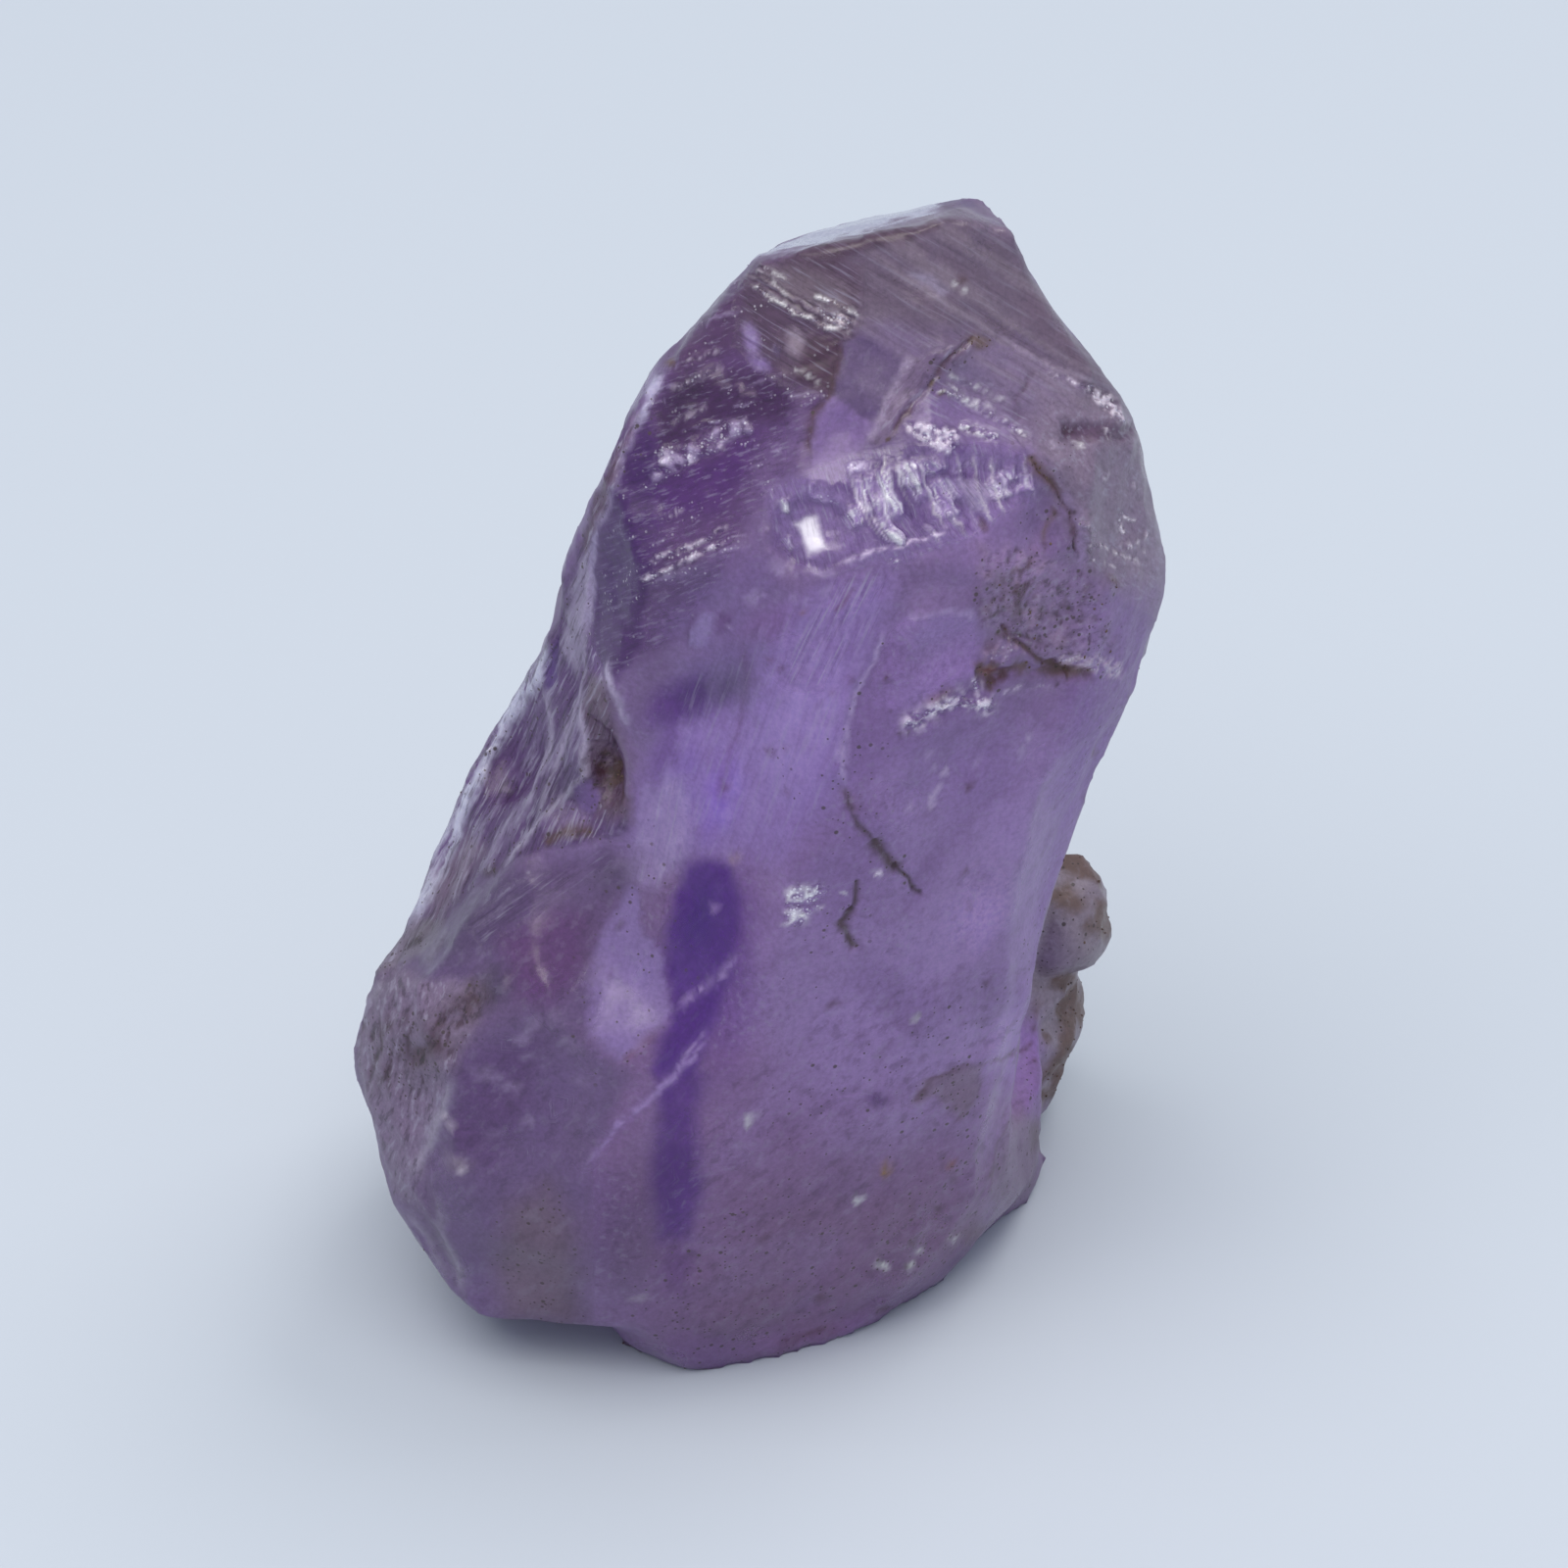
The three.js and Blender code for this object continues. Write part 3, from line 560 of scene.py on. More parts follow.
def lilac_facets(skin):
    """Two smooth small facets and the dark line along them."""
    upper = skin.area([
        (4.01, 26.67), (4.57, 26.82), (5.61, 26.26), (5.46, 25.78), (4.9, 24.59), (3.68, 25.35)], 0.08)
    skin.paint(0.95 * upper, (92, 82, 112))
    skin.paint(0.6 * skin.oval((4.67, 24.77), 0.56, 0.23, 40, soft=0.8), (80, 66, 108))
    lower = skin.area([
        (3.68, 25.32), (4.27, 24.99), (4.9, 24.59), (4.72, 24.21), (4.27, 23.62), (3.71, 23.42),
        (3.28, 23.22), (3.25, 24.08)], 0.08)
    skin.paint(0.97 * lower, (118, 101, 145))
    skin.hatch(np.maximum(upper, lower), 60, 0.2, 0.3, pale=0.1, dark=0.12)
    skin.lessen(gloss=0.9 * skin.area([(2.54, 26.92), (5.84, 26.42), (5.08, 22.86), (2.79, 22.86)], 0.3))
    crack = skin.line([(4.09, 26.8), (3.71, 25.4), (3.33, 24.89), (3.25, 24.49), (3.15, 23.72)], 0.08)
    skin.relief -= 0.05 * crack
    skin.paint(0.75 * crack, (74, 58, 64))
    skin.mark(earth=0.5 * crack, specks=0.7 * skin.line([(3.43, 25.15), (3.15, 23.62)], 0.16))


def dirty_groove(skin):
    """A groove with earth in it, a pale ledge on its left and bright steps on its right."""
    knots = [(7.57, 26.9), (7.21, 26.62), (6.71, 26.14), (6.27, 25.58), (5.74, 24.87), (5.21, 24.18)]
    ledge = skin.area([
        (7.24, 26.77), (7.52, 26.62), (6.35, 25.45), (5.38, 24.23), (4.93, 23.93), (4.78, 24.18),
        (5.0, 24.69), (5.61, 26.01), (6.35, 26.47)], 0.12)
    skin.relief += 0.03 * ledge
    skin.paint(0.7 * ledge, (110, 98, 122))
    skin.hatch(ledge, 50, 0.12, 0.4, pale=0.4, dark=0.5)
    skin.paint(0.7 * skin.line([
        (5.71, 26.11), (5.21, 25.27), (4.95, 24.59), (4.62, 24.08)], 0.08), (144, 134, 158))
    skin.frost_and_highlight(0.5 * skin.oval((5.79, 26.11), 0.36, 0.23, 50, soft=0.8), (166, 160, 180), seed=133)
    groove = skin.line(knots, 0.08)
    skin.relief -= 0.08 * groove
    skin.paint(0.75 * groove * climb(skin.waves(0.5, 134), -0.8, 0.1), (80, 64, 68))
    for at, long, wide in (
        ((7.39, 26.75), 0.1778, 0.126),
        ((6.35, 25.63), 0.2032, 0.144),
        ((5.21, 24.16), 0.1524, 0.108),
        ((6.65, 25.35), 0.1524, 0.108),
    ):
        blot = skin.oval(at, long, wide, 40, soft=0.8)
        skin.paint(0.85 * blot, (64, 48, 46))
        skin.mark(earth=blot)
    skin.mark(specks=0.9 * skin.line(knots, 0.24))
    plane = skin.area([
        (6.35, 25.27), (7.62, 25.1), (8.64, 24.38), (8.08, 24.13), (7.24, 24.46), (5.97, 24.59)], 0.15)
    skin.paint(0.8 * plane, (122, 107, 146))
    stepped = skin.area([
        (6.35, 26.11), (7.62, 25.91), (8.94, 24.89), (9.02, 24.08), (8.08, 24.0), (6.1, 24.64)], 0.2)
    skin.hatch(stepped, -27, 0.08, 0.9, pale=0.4, dark=0.3)
    # Bright steps: frost with painted highlights along them
    for knots, width, power in (
        ([(6.48, 25.48), (6.98, 25.25), (7.62, 24.92), (8.28, 24.54), (8.79, 24.28)], 0.075, 0.95),
        ([(6.65, 25.91), (7.24, 25.68), (7.92, 25.35), (8.48, 25.1)], 0.06, 0.7),
        ([(6.55, 25.7), (7.37, 25.27), (8.13, 24.84)], 0.045, 0.6),
        ([(7.11, 24.59), (7.57, 24.36), (8.08, 24.1)], 0.1, 1.0),
        ([(7.87, 24.77), (8.84, 24.21)], 0.05, 0.5),
    ):
        skin.ledge(knots, 3 * width, 0.06 * power)
        skin.frost_and_highlight(power * skin.line(knots, width, fade=0.08), (208, 202, 212), share=0.85, size=0.1,
                   seed=131)
    skin.mark(earth=0.6 * skin.line([(6.53, 25.35), (6.98, 25.15)], 0.1))


def crescent_band(skin):
    """The band of shell-like ripples below the tip, with painted highlights and shade on them."""
    band = skin.area([
        (2.03, 22.86), (4.06, 23.75), (5.84, 24.13), (7.87, 24.13), (9.14, 23.62), (8.89, 22.48),
        (7.62, 21.72), (5.71, 20.95), (4.57, 20.95), (3.3, 20.62), (2.29, 21.34)], 0.25)
    skin.paint(0.75 * band, (126, 110, 154))
    skin.mark(gloss=0.8 * band)
    skin.hatch(band, -72, 0.09, 0.6, pale=0.4, dark=0.3)
    shells = skin.area([
        (4.22, 23.32), (5.08, 23.72), (7.62, 23.67), (9.04, 23.52), (8.79, 22.56), (7.24, 21.72),
        (5.97, 21.29), (4.83, 21.64), (4.27, 22.22)], 0.2)
    # The ripples start upright at the band's top edge and bow to the right below it
    top, height, bow, wide_spacing, fine_spacing = 23.5, 2.1, 0.96, 0.46, 0.19
    bowed = skin.across - bow * np.clip((top - skin.up) / height, 0, 1.2) ** 2
    ripples = np.sin(bowed * 2 * math.pi / wide_spacing + 0.8 * skin.waves(1.5, 158))
    ripples = ripples + 0.5 * np.sin(bowed * 2 * math.pi / fine_spacing + 1.2 * skin.waves(0.8, 159))
    lit = climb(ripples, 0.4, 1.3) * climb(skin.streaks(-70, 0.3, 0.7, 160), -0.4, 0.4)
    skin.relief += 0.025 * shells * ripples
    skin.lay_strokes(shells, skin.up / 0.6, bowed / 0.07, 0.45, 0.3)
    # Painted highlights on the crests of the ripples, and painted shade in their troughs
    skin.paint(0.6 * shells * lit, (200, 196, 216))
    skin.mark(glitter=0.5 * shells * lit)
    skin.paint(0.35 * shells * climb(-ripples, 0.4, 1.3), (92, 76, 120))
    hollow = skin.oval((3.35, 21.69), 1.47, 1.07, -20, soft=0.35)
    skin.relief -= 0.12 * hollow
    skin.paint(0.5 * hollow * (1 - skin.oval((3.35, 21.69), 1.17, 0.81, -20, soft=0.3)), (86, 70, 112))
    plum = (
        ([(4.67, 22.86), (4.9, 21.97), (5.23, 21.41)], 0.16),
        ([(5.38, 23.37), (5.74, 22.56), (6.3, 21.84)], 0.2),
        ([(2.74, 22.02), (3.1, 22.1), (3.45, 22.15)], 0.07),
        ([(4.9, 23.47), (5.08, 23.62)], 0.14),
        ([(3.86, 23.06), (4.22, 22.78), (4.42, 22.58)], 0.07),
        ([(6.48, 23.27), (7.11, 23.22), (7.77, 23.16)], 0.09),
        ([(6.98, 21.84), (7.37, 21.95)], 0.12),
        ([(5.46, 23.42), (5.54, 23.11)], 0.14),
        ([(6.81, 24.08), (7.24, 23.83)], 0.2),
    )
    for knots, width in plum:
        skin.paint(0.55 * skin.line(knots, width), (84, 66, 112))
    arcs = (
        ([(4.57, 23.24), (4.6, 22.73), (4.72, 22.1)], 0.1, 0.75),
        ([(5.18, 23.57), (5.13, 23.19), (5.18, 22.71), (5.36, 22.3), (5.61, 22.02)], 0.13, 1.0),
        ([(4.9, 22.78), (4.98, 22.2), (5.18, 21.87), (5.56, 21.41)], 0.07, 0.85),
        ([(5.77, 23.62), (5.71, 23.29), (5.82, 22.91)], 0.12, 1.0),
        ([(5.92, 23.52), (5.94, 23.16), (6.02, 22.78), (6.17, 22.53)], 0.06, 0.8),
        ([(6.1, 23.72), (6.35, 23.42), (6.58, 23.37)], 0.1, 0.85),
        ([(6.35, 23.14), (6.45, 22.73), (6.68, 22.35), (6.91, 22.02)], 0.08, 0.85),
        ([(6.55, 23.22), (6.76, 22.86), (6.98, 22.5)], 0.09, 0.6),
        ([(7.9, 23.24), (8.05, 22.83), (8.23, 22.56)], 0.08, 0.9),
        ([(8.23, 23.47), (8.38, 23.01)], 0.06, 0.75),
        ([(8.81, 23.39), (8.79, 23.01), (8.56, 22.71)], 0.06, 0.7),
        ([(4.17, 22.38), (4.29, 22.12), (4.44, 21.84)], 0.1, 1.0),
        ([(2.46, 22.61), (2.57, 22.4), (2.67, 22.22)], 0.08, 0.85),
        ([(2.51, 21.72), (2.62, 21.44), (2.77, 21.26)], 0.06, 0.7),
        ([(3.2, 23.16), (3.35, 22.73), (3.61, 22.45)], 0.05, 0.6),
        ([(5.23, 21.84), (5.51, 21.56), (5.74, 21.51)], 0.08, 0.85),
    )
    beside_them = [
        ([(x + dx, y + dy) for x, y in knots], 0.55 * width, share * power) for knots, width,
        power in arcs[:12] for dx, dy, share in ((0.17, 0.05, 0.7), (-0.15, -0.06, 0.5))]
    # Each arc is a small raised step with a painted highlight along it
    for k, (knots, width, power) in enumerate(list(arcs) + beside_them):
        skin.ledge(knots, 4.5 * width, 0.1 * power)
        bright = skin.line(knots, width, fade=0.3)
        skin.hatch_along(skin.line(knots, 3.2 * width, fade=0.2), knots, 0.07, 0.8, pale=0.75, dark=0.5)
        broken = climb(skin.streaks(-70, 0.05, 0.4, 150 + k), -0.5, 0.5)
        skin.paint(0.8 * power * bright * broken, (214, 210, 226))
        skin.lessen(clear=0.7 * bright)
        skin.mark(glitter=0.7 * power * bright)
    combs = skin.area([(7.01, 23.06), (7.62, 23.11), (7.92, 22.86), (7.72, 22.25), (7.37, 22.35)], 0.1)
    skin.paint(0.5 * combs, (168, 160, 186))
    skin.hatch(combs, -52, 0.07, 0.6, pale=0.95, dark=0.5)
    # A mirror-like facet painted near white as a reflection
    mirror_reflection = skin.area([(2.79, 22.0), (3.4, 22.12), (3.66, 21.31), (3.12, 21.18)], 0.14)
    skin.paint(0.9 * mirror_reflection, (196, 196, 210))
    skin.hatch(mirror_reflection, -80, 0.09, 1.2, pale=0.0, dark=0.35)
    skin.lessen(clear=0.8 * mirror_reflection)
    scribble = skin.oval((4.39, 23.44), 0.38, 0.28, 20, soft=0.6)
    skin.frost_and_highlight(0.8 * scribble, (178, 172, 196), size=0.16, seed=147)
    skin.frost_and_highlight(0.6 * skin.oval((3.68, 22.66), 0.41, 0.3, 0, soft=0.6), (160, 150, 178), size=0.2, seed=148)
    sugar = skin.area([
        (5.61, 24.54), (6.1, 24.61), (7.06, 24.38), (7.16, 24.08), (6.76, 23.83), (6.25, 24.08),
        (5.84, 24.28)], 0.12)
    skin.relief += 0.05 * sugar * skin.waves(0.26, 143)
    skin.frost_and_highlight(0.9 * sugar, (196, 192, 208), share=0.8, size=0.12, seed=144)
    skin.frost_and_highlight(0.6 * skin.area([(6.91, 23.42), (7.37, 23.57), (7.52, 23.42), (7.01, 23.27)], 0.06),
               (188, 182, 204), size=0.12, seed=149)
    skin.frost_and_highlight(0.8 * skin.oval((5.44, 20.98), 0.25, 0.15, 0, soft=0.6), (196, 190, 210), size=0.12, seed=145)
    skin.mark(specks=0.9 * skin.oval((6.81, 22.73), 0.36, 0.25, -50, soft=0.7))
    brow = [(3.86, 20.85), (4.5, 21.11), (5.18, 21.34), (5.66, 21.44), (6.15, 21.56), (6.63, 21.72),
            (6.88, 22.02)]
    skin.ledge(brow[::-1], 0.3, 0.05)
    skin.frost_and_highlight(0.6 * skin.line(brow, 0.07), (190, 182, 208), share=0.8, size=0.18, seed=146)
    blotches = skin.area([(1.27, 20.32), (2.29, 21.03), (3.81, 20.7), (3.56, 20.07), (1.78, 19.81)], 0.25)
    skin.paint(0.5 * blotches * climb(skin.waves(0.4, 141, octaves=2), 0.0, 0.8), (160, 148, 184))
    stain = skin.oval((7.7, 21.97), 0.18, 0.28, 20, soft=0.7)
    skin.paint(0.7 * stain, (84, 70, 76))
    skin.mark(specks=stain)


def right_shoulder(skin):
    """The grainy grey shoulder on the right: bright scuffs, a recess painted dark as shade, and a cracked
    arc.
    """
    area = skin.area([
        (9.14, 25.4), (11.43, 24.89), (12.45, 21.34), (12.19, 19.81), (10.41, 20.57), (10.03, 22.35),
        (9.02, 23.75)], 0.3)
    skin.paint(0.8 * area, (124, 114, 134))
    skin.mark(grain=0.8 * area)
    skin.hatch(area, -50, 0.13, 0.22, pale=0.4, dark=0.35)
    scuff = skin.area([
        (10.11, 25.6), (10.46, 25.6), (11.07, 25.2), (11.38, 24.59), (11.07, 24.64), (10.62, 25.1)], 0.08)
    skin.frost_and_highlight(0.85 * scuff, (190, 186, 196), share=0.8, size=0.12, seed=151)
    skin.frost_and_highlight(0.7 * skin.line([
        (9.37, 25.96), (9.78, 25.76), (10.16, 25.55)], 0.08), (196, 190, 200), size=0.11, seed=155)
    # A recess painted dark as the shade in it
    shaded_recess = skin.area([(9.65, 24.59), (10.87, 24.64), (11.58, 24.49), (11.43, 24.13), (9.78, 24.16)], 0.12)
    skin.relief -= 0.1 * shaded_recess
    skin.paint(0.85 * shaded_recess, (86, 72, 92))
    skin.paint(0.7 * skin.oval((9.96, 24.43), 0.36, 0.18, 0, soft=0.7), (66, 52, 64))
    skin.frost_and_highlight(0.9 * skin.line([(9.93, 24.03), (10.36, 24.0)], 0.09), (214, 210, 218), size=0.12, seed=156)
    skin.paint(0.6 * skin.oval((9.5, 24.0), 0.13, 0.2, 0, soft=0.6), (168, 160, 180))
    lines = (
        ([(10.92, 24.64), (10.97, 24.08)], 0.05, 0.6),
        ([(11.18, 23.93), (11.38, 24.05)], 0.04, 0.7),
        ([(10.31, 21.44), (10.92, 21.34), (11.89, 20.93)], 0.05, 0.75),
        ([(10.31, 21.06), (10.67, 21.03)], 0.06, 0.7),
        ([(10.79, 20.95), (11.43, 20.78)], 0.04, 0.6),
        ([(11.23, 22.3), (11.48, 22.1), (11.73, 22.0)], 0.05, 0.8),
        ([(11.28, 22.1), (11.43, 21.72)], 0.08, 0.8),
        ([(11.68, 21.54), (11.99, 21.18)], 0.05, 0.7),
    )
    # Bright lines: frost with painted highlights along them
    for knots, width, power in lines:
        skin.frost_and_highlight(power * skin.line(knots, width), (200, 196, 206), share=0.9, size=0.11, seed=157)
    for at, long, wide, turn in (
        ((11.91, 21.67), 0.2032, 0.127, 70),
        ((10.87, 23.16), 0.127, 0.1016, 0),
        ((11.68, 22.94), 0.127, 0.1016, 0),
        ((10.29, 21.89), 0.2286, 0.1524, 0),
        ((11.43, 21.39), 0.254, 0.1524, -20),
    ):
        flake = skin.oval(at, long, wide, turn, soft=0.6)
        skin.relief += 0.05 * flake
        skin.frost_and_highlight(0.7 * flake, (190, 186, 198), size=0.12, seed=152)
    arc = [(8.86, 23.77), (9.32, 23.24), (9.73, 22.68), (9.93, 22.22), (10.08, 21.62), (10.16, 21.08)]
    distance, side, along = skin.beside(arc)
    low = skin.front * climb(side * distance, 0.0, 0.08) * (1 - climb(distance, 0.4, 1.4))
    low = low * climb(1 - along, 0, 0.3)
    skin.relief += 0.06 * low
    crack = skin.line(arc, 0.055, fade=0.06)
    skin.relief -= 0.07 * crack
    skin.paint(0.7 * crack, (70, 56, 60))
    lip = skin.front * climb(-side * distance, -0.01, 0.05) * (1 - climb(distance, 0.1, 0.35))
    skin.paint(0.45 * lip, (144, 128, 168))
    trail = np.maximum(skin.line(arc[:3], 0.16, fade=0.1), 0.8 * skin.line([
        (9.47, 22.58), (9.47, 22.22), (9.32, 21.92), (9.27, 21.41)], 0.08))
    skin.paint(0.6 * trail, (92, 76, 74))
    skin.mark(earth=0.8 * trail, specks=np.maximum(trail, 0.8 * skin.line(arc, 0.3)))
    spots = [(9.47, 22.28), (9.27, 21.44), (10.01, 22.25), (10.11, 21.34), (10.41, 21.26)]
    skin.paint(0.85 * skin.dots(spots, 0.07), (60, 46, 46))
    dirty = skin.oval((11.1, 20.47), 0.36, 0.18, -25, soft=0.8)
    skin.mark(specks=dirty, earth=0.7 * dirty)
    skin.paint(0.6 * dirty, (92, 78, 72))
    small = skin.area([(8.81, 21.03), (8.94, 21.44), (9.14, 21.23), (8.94, 20.93)], 0.05)
    skin.paint(0.6 * small, (98, 80, 112))


def pitted_patch(skin):
    """The speckled, pitted patch on the right, and the crevice full of earth below it."""
    patch = skin.area([
        (7.62, 21.34), (9.14, 21.34), (10.92, 20.32), (11.18, 18.8), (9.91, 18.16), (8.38, 18.8),
        (7.57, 19.3)], 0.4)
    skin.relief -= 0.03 * patch * climb(skin.waves(0.24, 161), 0.25, 0.8)
    skin.paint(0.7 * patch, (124, 108, 138))
    skin.hatch(patch, 30, 0.14, 0.2, pale=0.3, dark=0.6)
    skin.mark(specks=patch, earth=0.5 * patch * climb(skin.waves(0.5, 166, octaves=2), 0.3, 0.9))
    clots = patch * climb(skin.waves(0.22, 168, octaves=2), 0.25, 0.7)
    clots = clots * climb(skin.waves(0.9, 169), -0.2, 0.4)
    skin.paint(0.7 * clots, (66, 52, 58))
    skin.paint(0.4 * patch * climb(-skin.waves(0.3, 170, octaves=2), 0.2, 0.8), (150, 132, 156))
    skin.mark(grain=patch)
    right = skin.area([(10.41, 20.32), (12.24, 20.32), (11.89, 18.29), (10.92, 16.76), (10.16, 18.03)], 0.5)
    skin.paint(0.6 * right, (120, 104, 144))
    spots = [
        (8.23, 19.74), (8.69, 19.66), (8.53, 19.41), (8.66, 19.08), (9.19, 18.97), (9.3, 19.79),
        (9.73, 20.24), (9.7, 19.56), (9.27, 19.71), (10.24, 19.48), (10.67, 19.46), (10.52, 18.95),
        (8.86, 19.02), (8.56, 19.08), (8.33, 21.06), (8.51, 21.34), (9.73, 18.8), (8.13, 19.05),
        (11.43, 17.5), (8.38, 20.57)]
    scattered = np.random.default_rng(168).normal((9.25, 19.46), 0.71, (40, 2))
    skin.paint(0.85 * skin.dots(scattered, 0.055), (60, 46, 48))
    skin.relief -= 0.05 * skin.dots(spots, 0.08)
    skin.paint(0.9 * skin.dots(spots, 0.075), (58, 44, 44))
    cleft = skin.line([
        (7.42, 18.08), (7.87, 18.03), (8.76, 18.21), (9.91, 18.03), (10.67, 18.08)], 0.17, fade=0.05)
    curve = skin.line([
        (8.15, 19.35), (8.46, 18.92), (8.84, 18.67), (9.22, 18.44), (9.75, 18.14), (10.16, 17.93)], 0.09,
        fade=0.06)
    skin.relief -= 0.16 * cleft + 0.1 * curve
    skin.paint(0.8 * cleft * climb(skin.waves(0.4, 173, octaves=2), -1.0, 0.0), (90, 74, 76))
    skin.paint(0.85 * curve, (70, 54, 52))
    skin.mark(earth=np.maximum(0.8 * cleft, 0.9 * curve))
    rust = skin.oval((7.87, 18.14), 0.36, 0.2, 20, soft=0.8)
    skin.frost_and_highlight(0.5 * skin.area([(7.62, 18.92), (8.64, 19.05), (8.76, 18.49), (7.75, 18.39)], 0.15),
               (150, 134, 150), size=0.14, seed=167)
    brown = skin.area([
        (7.42, 18.34), (7.72, 18.49), (8.28, 18.34), (8.33, 17.98), (7.92, 17.58), (7.62, 17.88)], 0.12)
    skin.paint(0.85 * brown * climb(skin.waves(0.22, 174, octaves=2), -0.8, 0.2), (72, 52, 48))
    skin.mark(earth=0.7 * brown, specks=brown)
    skin.paint(0.6 * rust, (120, 84, 74))
    skin.paint(0.5 * skin.oval((7.92, 18.75), 0.3, 0.25, 0, soft=0.8), (96, 80, 86))
    grains = skin.area([(9.6, 18.49), (10.67, 18.59), (11.28, 18.39), (11.18, 18.03), (9.78, 18.14)], 0.12)
    skin.mark(specks=0.9 * grains)
    skin.frost_and_highlight(0.6 * grains, (176, 166, 172), size=0.12, seed=163)
    # A frosty crest with a painted highlight along it
    crest = [(5.44, 16.76), (6.07, 16.97), (6.55, 17.27), (7.14, 17.45), (7.72, 17.37), (8.13, 17.12)]
    skin.ledge(crest, 0.35, 0.1)
    skin.frost_and_highlight(skin.line(crest, 0.22), (200, 194, 212), share=0.9, size=0.13, seed=162)
    brim = skin.oval((6.55, 17.55), 0.56, 0.18, 22, soft=0.8)
    skin.paint(0.7 * brim, (98, 80, 82))
    skin.mark(specks=brim)
    skin.frost_and_highlight(0.75 * skin.oval((7.47, 17.81), 0.3, 0.23, -30, soft=0.7), (200, 194, 212), size=0.12,
               seed=164)
    thin = [(8.18, 17.6), (8.81, 17.75), (9.53, 17.6)]
    skin.frost_and_highlight(0.7 * skin.line(thin, 0.06), (196, 188, 210), size=0.14, seed=165)
    skin.paint(0.8 * skin.dots([
        (6.71, 17.81), (6.63, 17.63), (5.82, 16.61), (5.56, 16.59), (5.23, 17.12), (6.98, 18.64)], 0.06),
        (60, 46, 50))
    smooth = skin.area([
        (5.21, 19.3), (5.84, 19.68), (7.52, 19.63), (7.72, 19.05), (7.37, 18.03), (6.35, 17.48),
        (5.38, 17.14), (4.47, 17.4)], 0.2)
    skin.paint(0.75 * smooth, (136, 116, 166))
    skin.mark(gloss=0.6 * smooth)
    rim = skin.line([(5.71, 19.51), (6.1, 19.66), (6.73, 19.68), (7.57, 19.63)], 0.06)
    skin.ledge([(7.57, 19.63), (6.73, 19.68), (6.1, 19.66), (5.71, 19.51)], 0.2, 0.04)
    skin.paint(0.6 * rim, (172, 158, 196))
    skin.paint(0.6 * skin.line([(7.52, 20.32), (7.62, 19.76), (7.72, 19.18)], 0.06), (96, 78, 110))


